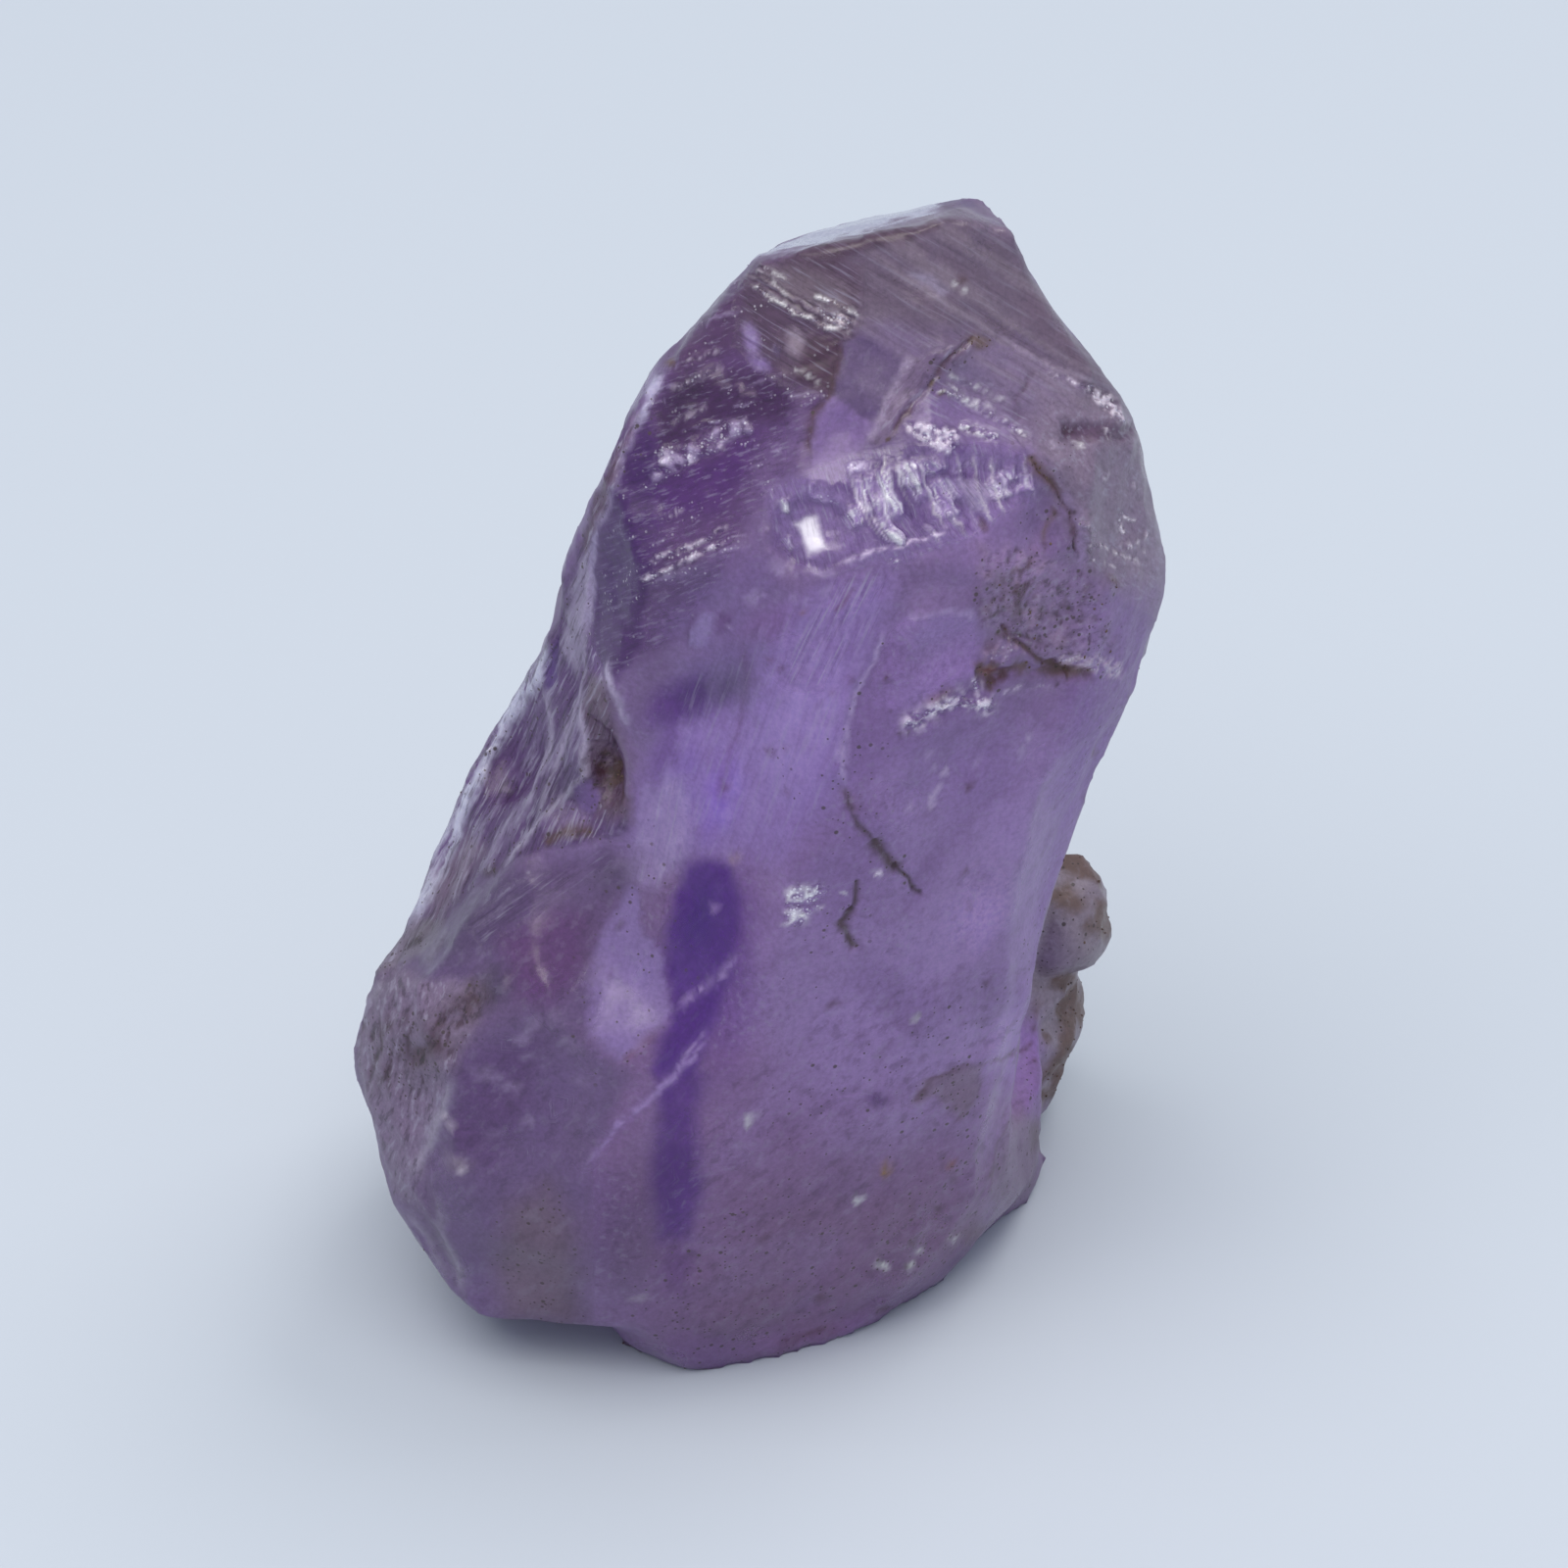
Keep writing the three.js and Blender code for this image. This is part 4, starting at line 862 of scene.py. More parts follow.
def bright_flutes(skin):
    """The luminous middle, painted lighter as a glow, with fine flutes that fan out downwards from the
    crescents, painted light on their crests and shaded in their hollows.
    """
    painted_glow = skin.area([
        (0.0, 18.29), (1.52, 19.3), (4.06, 20.57), (5.33, 20.57), (5.08, 19.05), (4.37, 17.53), (4.06, 15.49),
        (2.54, 13.21), (-0.25, 13.21), (-1.4, 13.72), (-1.02, 15.49)], 0.6)
    skin.paint(0.85 * painted_glow, (132, 113, 168))
    skin.tint_ovals(
        (0.8, (2.92, 16.64), 2.67, 1.32, 70, 0.8, (142, 124, 176)),
        (0.85, (0.94, 14.94), 1.68, 0.66, 78, 0.85, (132, 106, 188)),
        (0.55, (0.0, 15.24), 1.78, 0.61, 80, 0.8, (118, 96, 166)),
        (0.85, (-0.05, 17.37), 1.57, 0.91, 25, 0.75, (80, 56, 118)),
        (0.5, (-0.51, 16.0), 1.27, 0.51, 70, 0.85, (88, 64, 124)),
        (0.6, (2.03, 19.3), 1.52, 0.66, 25, 0.8, (112, 90, 132)),
    )
    centre, flutes_a_radian, swells_a_radian = (5.9, 25.9), 150, 26
    fan = np.arctan2(skin.across - centre[0], centre[1] - skin.up)
    flutes = np.sin(fan * flutes_a_radian + 1.6 * skin.waves(1.6, 171))
    reach = skin.area([
        (3.81, 20.57), (5.28, 20.88), (5.08, 19.3), (3.81, 17.78), (2.54, 17.78), (3.05, 19.3)], 0.4)
    skin.hatch(painted_glow, 70, 0.14, 1.4, pale=0.22, dark=0.18)
    skin.hatch(reach, 64, 0.075, 1.8, pale=0.5, dark=0.3)
    skin.relief += 0.006 * reach * flutes
    skin.relief += 0.035 * painted_glow * np.sin(fan * swells_a_radian + 1.0 + skin.waves(2.5, 172))
    # Painted light on the crests of the flutes, and painted shade in their hollows
    skin.paint(0.2 * reach * climb(flutes, 0.0, 1.0), (160, 144, 182))
    skin.paint(0.2 * reach * climb(-flutes, 0.0, 1.0), (100, 82, 124))
    skin.mark(gloss=0.5 * painted_glow)
    down = skin.streaks(76, 0.1, 1.6, 175)
    pale = skin.area([
        (-1.37, 13.67), (-0.91, 15.24), (0.0, 15.49), (0.0, 13.46), (-0.71, 12.57), (-1.4, 12.7)], 0.25)
    skin.paint(0.7 * pale, (142, 128, 170))
    skin.paint(0.4 * pale * climb(down, 0.0, 0.8), (170, 160, 194))
    skin.hatch(pale, 78, 0.09, 1.2, pale=0.4, dark=0.2)
    skin.paint(0.3 * painted_glow * climb(down, 0.1, 0.9), (156, 140, 190))
    skin.paint(0.25 * painted_glow * climb(skin.waves(0.4, 176, octaves=2), 0.1, 0.9), (112, 92, 140))
    streak = skin.line([(1.5, 19.05), (1.6, 18.21), (1.3, 16.66), (1.07, 15.62), (0.91, 14.58)], 0.12)
    skin.paint(0.45 * streak, (96, 74, 112))
    spots = [(2.13, 18.49), (2.46, 18.29), (4.27, 18.03), (2.29, 16.05), (2.11, 16.05), (1.04, 15.19),
             (1.57, 15.24), (2.54, 15.06), (2.59, 16.13), (3.81, 17.63)]
    skin.paint(0.65 * skin.dots(spots, 0.09), (94, 74, 102))
    skin.paint(0.5 * skin.oval((3.51, 17.32), 0.23, 0.1, 55, soft=0.7), (104, 86, 130))
    dirt = skin.oval((3.1, 19.74), 0.15, 0.13, 0, soft=0.7)
    skin.paint(0.5 * dirt, (120, 92, 96))
    notch = skin.line([(3.89, 19.76), (4.17, 20.07), (4.37, 20.42)], 0.08)
    skin.paint(0.55 * notch, (92, 70, 88))
    star = skin.area([
        (2.49, 11.68), (2.59, 12.34), (2.84, 12.75), (3.71, 12.65), (3.51, 12.04), (2.95, 11.63)], 0.12)
    skin.frost_and_highlight(star, (216, 210, 226), share=0.9, size=0.13, seed=173)
    skin.paint(0.5 * skin.line([(1.45, 11.94), (1.63, 11.58), (1.98, 11.56)], 0.05), (160, 146, 188))


def step_and_cracks(skin):
    """The thin step down the middle of the front, and the two brown cracks at its foot."""
    knots = [
        (5.21, 19.3), (4.8, 18.36), (4.39, 17.55), (4.17, 16.69), (4.04, 16.03), (4.06, 15.57), (4.09, 15.11)]
    distance, side, along = skin.beside(knots)
    ends = faded_ends(along, 0.1)
    near = skin.front * ends * (1 - climb(distance, 0.1, 1.2))
    skin.relief += 0.07 * near * climb(side * distance, -0.05, 0.05) - 0.035 * near
    right = skin.front * ends * climb(-side * distance, 0.0, 0.05) * (1 - climb(distance, 0.2, 1.6))
    skin.paint(0.7 * right, (118, 97, 144))
    skin.paint(0.8 * skin.line(knots, 0.055), (168, 154, 192))
    skin.mark(specks=0.5 * skin.line(knots, 0.16))
    dirt = skin.oval((4.22, 14.86), 0.56, 0.23, -50, soft=0.8)
    skin.paint(0.4 * dirt, (112, 90, 108))
    skin.mark(specks=dirt)
    skin.mark(specks=0.9 * skin.oval((3.71, 14.73), 0.23, 0.13, 50, soft=0.8))
    cracks = (
        ([(4.11, 15.09), (4.32, 14.53), (4.57, 14.07), (4.85, 13.77)], 0.08, 0.8),
        ([(4.8, 13.82), (5.03, 13.51), (5.26, 13.28), (5.51, 13.0)], 0.17, 1.0),
        ([(5.36, 13.16), (5.66, 12.88), (5.94, 12.55)], 0.08, 1.0),
        ([(5.82, 12.55), (6.05, 12.5)], 0.05, 0.9),
        ([(4.44, 12.83), (4.39, 12.29), (4.24, 11.89)], 0.07, 0.9),
        ([(4.27, 12.06), (4.04, 11.61), (4.17, 11.35), (4.44, 11.02)], 0.14, 1.0),
    )
    for knots, width, strength in cracks:
        crack = skin.line(knots, width, fade=0.08)
        skin.relief -= 0.08 * strength * crack
        skin.paint(0.9 * strength * crack, (60, 46, 48))
        skin.mark(earth=0.4 * strength * crack, specks=0.9 * strength * skin.line(knots, 2.2 * width))
    skin.frost_and_highlight(0.9 * skin.oval((4.98, 12.93), 0.28, 0.13, 15, soft=0.7), (204, 198, 218), size=0.12, seed=176)
    # A small painted highlight
    glint = skin.oval((4.06, 12.45), 0.18, 0.08, 0, soft=0.7)
    skin.paint(0.5 * glint, FROST_AND_HIGHLIGHT)
    for knots, power in (
        ([(6.15, 16.13), (6.55, 15.57), (6.96, 15.44)], 0.7),
        ([(5.71, 14.86), (6.22, 14.27)], 0.35),
    ):
        skin.paint(power * skin.line(knots, 0.035), (190, 180, 206))
    skin.paint(0.5 * skin.oval((8.71, 16.13), 0.23, 0.3, 0, soft=0.9), (164, 156, 182))
    sparks = [
        (6.35, 14.94), (6.5, 15.09), (6.1, 14.68), (5.38, 14.53), (7.52, 15.9), (8.94, 16.43), (6.32, 14.71)]
    skin.paint(0.6 * skin.dots(sparks, 0.07), (188, 178, 206))
    spots = [(7.29, 15.24), (7.37, 15.32), (7.24, 13.08), (10.31, 14.94), (10.39, 14.99), (10.34, 14.58),
             (10.54, 16.08), (7.37, 12.01), (4.5, 14.94), (4.52, 14.68), (5.23, 17.98)]
    skin.paint(0.8 * skin.dots(spots, 0.07), (72, 56, 66))


def violet_band(skin):
    """The deep violet zone low on the front, sharp on its left and soft on its right."""
    body = skin.area([
        (0.0, 13.11), (0.56, 13.36), (1.12, 13.06), (1.37, 12.32), (1.32, 10.92), (0.97, 9.65), (0.51, 8.38),
        (0.05, 7.37), (-0.51, 7.11), (-0.81, 7.77), (-0.71, 8.38), (-0.41, 9.4), (-0.51, 10.97),
        (-0.3, 12.32)], 0.22)
    skin.tint_ovals(
        (0.5, (0.64, 10.54), 3.3, 1.78, 80, 0.6, (104, 80, 138)),
        (0.8, (0.97, 10.92), 3.0, 1.07, 80, 0.85, (90, 63, 126)),
    )
    skin.paint(0.95 * body, (76, 52, 120))
    skin.paint(0.7 * skin.oval((0.38, 11.81), 1.27, 0.61, 80, soft=0.8), (68, 45, 114))
    skin.paint(0.25 * body * climb(skin.waves(0.5, 183, octaves=2), 0.0, 0.9), (96, 76, 138))
    skin.hatch(body, 50, 0.2, 0.8, pale=0.04, dark=0.12)
    low = skin.area([
        (-0.71, 7.62), (0.41, 7.72), (0.3, 6.35), (0.41, 4.83), (0.1, 3.51), (-0.71, 3.4), (-0.91, 4.83)],
        0.3)
    skin.paint(0.9 * low, (78, 54, 118))
    skin.hatch(low, 50, 0.2, 0.8, pale=0.06, dark=0.12)
    skin.paint(0.3 * low * climb(skin.waves(0.6, 182, octaves=2), 0.0, 0.9), (104, 78, 134))
    skin.tint_ovals(
        (0.6, (-0.25, 5.33), 1.32, 0.46, 85, 0.8, (76, 50, 112)),
        (0.6, (-0.25, 2.79), 1.27, 0.66, 90, 0.9, (94, 70, 120)),
        (0.45, (1.22, 8.64), 2.29, 0.76, 70, 0.9, (100, 76, 132)),
    )
    veils = (
        ([(1.45, 11.02), (1.22, 10.67), (0.84, 10.26), (0.1, 9.7), (-0.41, 9.25)], 0.075, 0.8),
        ([(-0.41, 9.25), (-0.89, 8.74), (-1.45, 8.18)], 0.06, 0.4),
        ([(1.04, 9.35), (0.38, 8.69), (-0.08, 8.05), (-0.64, 7.39), (-1.65, 6.48), (-2.57, 5.36),
            (-3.3, 4.44)], 0.06, 0.8),
        ([(0.64, 8.74), (0.2, 8.13), (-0.25, 7.77)], 0.045, 0.85),
        ([(-0.15, 8.0), (-0.51, 7.42), (-1.02, 6.96)], 0.05, 0.5),
        ([(-1.52, 8.25), (-2.29, 7.11), (-2.92, 5.84)], 0.05, 0.3),
        ([(-2.13, 6.48), (-2.54, 5.33), (-3.17, 4.06)], 0.07, 0.3),
    )
    for knots, width, power in veils:
        veil = skin.line(knots, 0.8 * width, fade=0.25)
        skin.relief += 0.02 * veil
        skin.paint(power * veil * climb(skin.waves(0.5, 181), -1.3, -0.3), (166, 148, 194))
        skin.paint(0.4 * power * skin.line(knots, 2.4 * width, fade=0.3), (126, 104, 156))
    skin.tint_dots(
        (0.8, [(0.76, 12.12)], 0.09, (140, 118, 168)),
        (0.6, [(1.22, 13.28), (1.37, 13.36)], 0.13, (140, 122, 132)),
    )


def lilac_patch(skin):
    """The pale flat facet on the left of the violet band."""
    corners = [
        (-1.52, 12.57), (-1.27, 12.57), (-1.09, 11.56), (-0.64, 10.92), (-0.43, 9.42), (-0.81, 8.86),
        (-1.73, 8.13), (-2.54, 8.74), (-2.79, 9.65), (-2.84, 10.34), (-2.46, 10.62), (-2.29, 11.28),
        (-1.83, 11.99)]
    patch = skin.area(corners, 0.07)
    skin.paint(0.7 * skin.oval((-1.83, 8.69), 1.27, 0.66, 40, soft=0.9), (124, 106, 152))
    skin.paint(0.9 * patch, (130, 115, 162))
    skin.paint(0.3 * skin.oval((-1.14, 10.16), 1.02, 0.51, -70, soft=0.8), (140, 126, 174))
    skin.hatch(patch, 70, 0.3, 0.4, pale=0.15, dark=0.1)
    ridge = skin.line([(-2.44, 12.65), (-2.03, 12.88), (-1.63, 13.31)], 0.1)
    skin.paint(0.8 * ridge, (164, 152, 184))
    skin.paint(0.8 * skin.dots([(-1.68, 11.73), (-2.03, 10.46)], 0.07), (76, 60, 84))
    shade = skin.area([
        (-2.84, 10.41), (-2.46, 10.67), (-2.29, 11.3), (-1.78, 12.06), (-2.08, 12.57), (-2.64, 11.68),
        (-3.05, 10.67)], 0.15)
    skin.paint(0.8 * shade, (90, 66, 106))
    rust = skin.line([(-0.81, 8.74), (-1.27, 8.48), (-1.63, 7.98)], 0.1)
    skin.mark(specks=rust)
    skin.paint(0.4 * rust, (112, 86, 98))


def left_wall(skin):
    """The long side wall on the left, drawn out in fibrous streaks, painted dark as a wall in shade, with a
    painted reflection along its outer strip.
    """
    wall = skin.area([
        (-8.84, 11.18), (-7.49, 11.43), (-5.08, 16.76), (-3.66, 19.3), (-2.79, 21.34), (-1.52, 24.89),
        (-1.14, 24.77), (-2.34, 21.72), (-2.54, 19.3), (-1.98, 17.78), (-1.52, 15.75), (-1.52, 13.97),
        (-3.56, 13.59), (-5.08, 12.83), (-6.6, 11.43), (-7.11, 10.54), (-8.0, 10.16)], 0.14)
    fibres = skin.streaks(65, 0.09, 1.6, 201)
    cords = skin.streaks(66, 0.3, 5.0, 202)
    skin.relief += wall * (0.035 * fibres + 0.07 * cords)
    # The wall's dark tone is painted shade
    skin.paint(0.92 * wall, (88, 74, 110))
    skin.paint(0.5 * wall * climb(fibres + cords, 0.1, 1.0), (146, 142, 166))
    skin.paint(0.6 * wall * climb(-fibres - 0.6 * cords, 0.2, 1.0), (72, 60, 94))
    skin.hatch(wall, 66, 0.07, 0.8, pale=0.6, dark=0.8)
    skin.lessen(gloss=0.5 * wall)
    skin.mark(grain=wall)
    inner = skin.area([
        (-3.56, 13.72), (-3.17, 15.49), (-2.54, 17.27), (-2.16, 17.78), (-2.54, 15.49), (-3.17, 14.73),
        (-3.94, 13.67)], 0.2)
    skin.paint(0.6 * inner, (84, 70, 108))
    brownish = skin.area([
        (-2.54, 18.03), (-1.98, 17.78), (-1.4, 16.0), (-1.4, 14.22), (-2.29, 14.48), (-2.64, 15.75)], 0.25)
    skin.paint(0.8 * brownish, (96, 84, 96))
    skin.paint(0.5 * skin.area([
        (-6.86, 12.7), (-5.59, 13.97), (-5.08, 13.46), (-6.6, 11.43)], 0.3), (122, 112, 124))
    # A painted reflection of the bright room along the wall's outer strip
    outer_reflection = skin.area([
        (-7.62, 11.18), (-6.6, 13.46), (-5.84, 15.24), (-5.0, 16.89), (-4.06, 18.8), (-3.66, 19.18),
        (-3.66, 18.03), (-4.57, 16.76), (-5.33, 15.24), (-6.1, 13.46), (-6.86, 11.94)], 0.16)
    skin.paint(0.85 * outer_reflection * climb(fibres + 0.6, -0.4, 0.6), (168, 174, 190))
    skin.lessen(clear=0.5 * outer_reflection)
    skin.mark(gloss=0.7 * outer_reflection)
    top = skin.area([(-2.79, 21.08), (-2.49, 21.34), (-2.54, 19.05), (-2.92, 18.03), (-3.25, 18.8)], 0.12)
    skin.paint(0.7 * top, (150, 146, 168))
    high = skin.area([
        (-2.79, 21.34), (-2.24, 23.11), (-1.14, 24.89), (-1.52, 24.13), (-2.29, 21.84), (-2.59, 21.21)], 0.1)
    skin.paint(0.7 * high, (92, 82, 92))
    blade = skin.area([(-3.66, 17.78), (-3.61, 18.67), (-3.35, 19.05), (-3.38, 18.03), (-3.51, 17.53)], 0.07)
    skin.relief -= 0.06 * blade
    skin.paint(0.9 * blade, (82, 66, 118))
    for knots, width, power in (
        ([(-2.69, 17.78), (-2.62, 16.51), (-2.64, 15.49), (-3.1, 14.94), (-3.73, 14.35), (-4.39, 13.51),
            (-4.83, 12.9)], 0.09, 0.75),
        ([(-2.59, 19.05), (-2.74, 17.78), (-3.05, 16.76), (-3.56, 15.24), (-3.94, 14.27)], 0.07, 0.5),
        ([(-1.98, 18.54), (-1.85, 17.7), (-1.4, 16.79)], 0.08, 0.6),
        ([(-3.66, 17.78), (-3.51, 16.64), (-3.76, 15.49), (-4.17, 14.48)], 0.06, 0.5),
        ([(-5.08, 17.78), (-5.84, 16.0), (-6.6, 13.97)], 0.05, 0.4),
        ([(-4.75, 12.7), (-5.33, 12.19), (-5.84, 11.43), (-6.3, 10.79)], 0.16, 0.7),
    ):
        skin.ledge(knots, 0.25, 0.05 * power)
        skin.paint(power * skin.line(knots, width), (176, 172, 194))
    pocket = skin.area([
        (-2.39, 15.62), (-2.13, 16.21), (-1.63, 15.85), (-1.52, 14.94), (-1.78, 14.58), (-2.13, 15.09)], 0.14)
    skin.relief -= 0.1 * pocket * climb(skin.waves(0.4, 203), -0.5, 0.8)
    ragged = pocket * climb(skin.waves(0.3, 205, octaves=2), -0.5, 0.4)
    skin.paint(0.85 * ragged, (66, 54, 56))
    skin.mark(earth=0.7 * ragged, specks=pocket)
    skin.hatch(skin.oval((-2.08, 15.49), 0.76, 1.52, 20, soft=0.8), 60, 0.1, 0.16, pale=0.2, dark=1.0)
    skin.frost_and_highlight(0.4 * skin.oval((-2.08, 15.8), 0.2, 0.2, 0, soft=0.7), (170, 158, 160), size=0.1, seed=204)
    facet = skin.area([
        (-2.92, 14.94), (-2.84, 15.24), (-2.44, 15.32), (-2.18, 14.94), (-2.34, 14.53), (-2.64, 14.53)], 0.06)
    skin.paint(0.9 * facet, (108, 92, 138))
    skin.hatch(facet, 66, 0.2, 0.2, pale=0.1, dark=0.15)
    pale = skin.area([
        (-3.73, 14.27), (-3.05, 14.94), (-2.54, 14.48), (-2.44, 14.1), (-3.17, 14.1), (-3.66, 13.82)], 0.1)
    skin.paint(0.7 * pale, (122, 106, 146))
    brown = skin.line([(-3.66, 13.67), (-3.35, 13.92), (-3.0, 14.05), (-2.39, 14.1)], 0.13, fade=0.1)
    skin.relief -= 0.06 * brown
    skin.paint(0.85 * brown, (74, 60, 70))
    skin.mark(earth=0.7 * brown)
    dirty = np.maximum(skin.oval((-5.0, 12.93), 0.23, 0.13, 50, soft=0.6),
                       skin.oval((-6.86, 11.48), 0.51, 0.23, 50, soft=0.7))
    skin.paint(0.8 * dirty, (76, 70, 74))
    skin.mark(specks=0.9 * np.maximum(dirty, 0.5 * wall))
    spots = [(-4.14, 17.42), (-3.94, 17.86), (-5.41, 15.34), (-5.31, 15.75), (-3.17, 19.46), (-2.92, 19.25),
             (-3.99, 17.32)]
    skin.paint(0.7 * skin.dots(spots, 0.07), (84, 80, 96))


def lobe(skin):
    """The rounded lobe at the lower left: matte, grey-lilac, with dark earth rubbed across it."""
    whole = skin.area([
        (-8.76, 8.64), (-7.62, 10.41), (-6.6, 11.3), (-5.08, 12.83), (-2.03, 13.56), (-1.4, 12.7),
        (-2.29, 11.18), (-2.54, 8.64), (-1.52, 7.62), (-2.54, 5.08), (-2.54, 1.02), (-5.59, 1.4),
        (-8.76, 6.35)], 0.3)
    skin.paint(0.85 * whole, (99, 87, 119))
    skin.hatch(whole, 42, 0.3, 0.45, pale=0.13, dark=0.28)
    for at, long, wide, turn in (
        ((-2.67, 10.16), 0.6604, 0.3048, 60),
        ((-4.44, 8.51), 0.762, 0.3556, -20),
        ((-5.84, 8.38), 0.3048, 0.2032, 0),
        ((-4.32, 5.59), 0.6604, 0.4064, 40),
        ((-3.3, 6.86), 0.4572, 0.3048, 60),
        ((-4.57, 12.57), 1.524, 0.3556, 35),
    ):
        skin.hatch(skin.oval(at, long, wide, turn, soft=0.9), 30, 0.24, 0.3, pale=0.4,
                   dark=0.2)
    upper = skin.area([
        (-7.24, 10.41), (-6.35, 11.43), (-5.08, 12.57), (-3.56, 13.21), (-3.56, 11.43), (-5.08, 9.91),
        (-6.35, 9.4)], 0.4)
    skin.paint(0.6 * upper, (98, 86, 122))
    skin.tint_areas(
        (0.75, [(-4.83, 11.18), (-3.56, 11.94), (-2.54, 11.94), (-2.64, 10.41), (-3.56, 9.4), (-4.32, 9.65)],
            0.4, (92, 68, 108)),
        (0.7, [(-6.35, 7.87), (-4.57, 8.64), (-3.56, 8.64), (-4.06, 6.6), (-5.08, 5.33), (-6.45, 5.84)], 0.5,
            (88, 70, 110)),
    )
    skin.paint(0.6 * skin.oval((-3.68, 6.86), 2.03, 0.91, 70, soft=0.8), (102, 86, 126))
    matte = skin.area([
        (-8.69, 8.64), (-8.48, 9.53), (-7.49, 10.54), (-6.6, 10.16), (-5.08, 10.16), (-5.59, 8.64),
        (-6.22, 7.37), (-6.76, 5.84), (-6.6, 4.06), (-7.62, 4.57), (-8.38, 7.11)], 0.25)
    skin.relief += 0.03 * matte * skin.waves(0.45, 211)
    skin.paint(0.9 * matte, (108, 100, 120))
    skin.mark(grain=matte)
    skin.lessen(gloss=0.8 * matte, clear=0.4 * matte)
    skin.hatch(matte, 76, 0.13, 0.4, pale=0.35, dark=0.75)
    strokes = skin.streaks(78, 0.09, 0.4, 214)
    rubbed = skin.area([
        (-8.48, 9.14), (-6.6, 9.4), (-5.08, 10.41), (-5.33, 9.4), (-6.1, 7.87), (-7.11, 7.11), (-8.33, 7.37)],
        0.4)
    skin.relief -= 0.03 * rubbed * climb(strokes, 0.1, 0.8)
    skin.paint(0.6 * rubbed, (98, 92, 108))
    skin.paint(0.75 * rubbed * climb(strokes, 0.1, 0.8), (60, 54, 62))
    knots = [(-5.0, 10.26), (-5.59, 9.6), (-6.12, 9.04), (-6.5, 8.59), (-6.86, 8.23), (-7.49, 7.87)]
    groove = skin.line(knots, 0.36, fade=0.2)
    skin.relief -= 0.08 * skin.line(knots, 0.2)
    skin.paint(0.85 * groove * climb(skin.waves(0.5, 212, octaves=2), -0.9, 0.3), (66, 60, 66))
    skin.hatch(skin.line(knots, 0.5, fade=0.2), 70, 0.11, 0.3, pale=0.1, dark=1.0)
    skin.mark(specks=np.maximum(0.9 * rubbed, 0.9 * groove))
    ear = skin.area([
        (-8.0, 10.16), (-7.52, 11.18), (-6.98, 11.81), (-6.3, 11.68), (-6.6, 11.05), (-7.24, 10.54)], 0.12)
    skin.paint(0.8 * ear, (120, 117, 130))
    skin.mark(specks=ear)
    skin.paint(0.85 * skin.oval((-7.01, 11.15), 0.33, 0.18, 40, soft=0.6), (70, 66, 74))
    for knots, width, power in (
        ([(-5.82, 7.8), (-6.38, 6.81), (-6.73, 5.69), (-7.01, 5.28), (-7.21, 4.9)], 0.16, 0.7),
        ([(-6.45, 4.72), (-6.32, 3.53), (-5.82, 2.41), (-5.59, 1.91)], 0.1, 0.65),
        ([(-7.29, 4.37), (-6.53, 3.17), (-5.97, 2.36)], 0.1, 0.6),
        ([(-8.48, 9.35), (-8.0, 9.78), (-7.75, 10.21)], 0.08, 0.6),
        ([(-6.91, 10.46), (-6.35, 11.18), (-6.05, 11.58)], 0.1, 0.5),
    ):
        skin.ledge(knots, 0.45, 0.07 * power, fade=0.2)
        skin.paint(power * skin.line(knots, width, fade=0.25), (148, 146, 162))
    combed = skin.area([
        (-5.69, 11.61), (-4.57, 12.57), (-2.11, 13.56), (-1.52, 13.21), (-3.56, 12.19), (-5.08, 11.05)], 0.25)
    lines = skin.streaks(38, 0.09, 1.8, 213)
    skin.hatch(combed, 36, 0.11, 1.4, pale=0.4, dark=0.45)
    skin.relief += 0.015 * combed * lines
    skin.paint(0.45 * combed * climb(lines, 0.0, 0.8), (134, 124, 154))
    skin.paint(0.4 * combed * climb(-lines, 0.1, 0.9), (80, 66, 100))
    ridge_side = skin.area([(-7.11, 5.08), (-6.45, 5.08), (-6.3, 3.56), (-5.74, 2.29), (-6.6, 3.17)], 0.15)
    skin.paint(0.6 * ridge_side, (90, 76, 108))
    brownish = skin.area([
        (-4.57, 4.32), (-3.56, 4.83), (-2.79, 3.56), (-2.92, 1.27), (-4.57, 1.4), (-4.95, 2.79)], 0.6)
    skin.paint(0.75 * brownish, (106, 96, 106))
    skin.mark(specks=0.6 * brownish)
    pale = skin.oval((-5.89, 5.38), 0.51, 0.36, -20, soft=0.8)
    skin.paint(0.6 * pale, (122, 112, 126))
    spots = [(-6.17, 5.46), (-5.94, 5.41), (-5.84, 5.18), (-6.27, 6.68), (-6.15, 6.48)]
    skin.paint(0.85 * skin.dots(spots, 0.09), (182, 176, 188))
    milk = skin.waves(0.42, 215)
    skin.paint(0.5 * skin.area([
        (-5.59, 8.13), (-3.56, 9.65), (-2.54, 7.62), (-4.06, 5.08), (-5.08, 5.33)],
        0.5) * climb(milk, 0.45, 0.9), (140, 128, 158))
    skin.paint(0.6 * skin.oval((-4.62, 10.13), 0.36, 0.1, 55, soft=0.8), (158, 142, 160))
    skin.paint(0.8 * skin.dots([(-4.67, 4.93), (-4.27, 3.58)], 0.08), (58, 46, 60))
    # The lowest rim, painted darker as the shade under the stone's foot
    rim = skin.line([(-2.54, 1.22), (-3.56, 1.17), (-4.83, 1.27)], 0.14)
    skin.paint(0.5 * rim, (84, 72, 96))


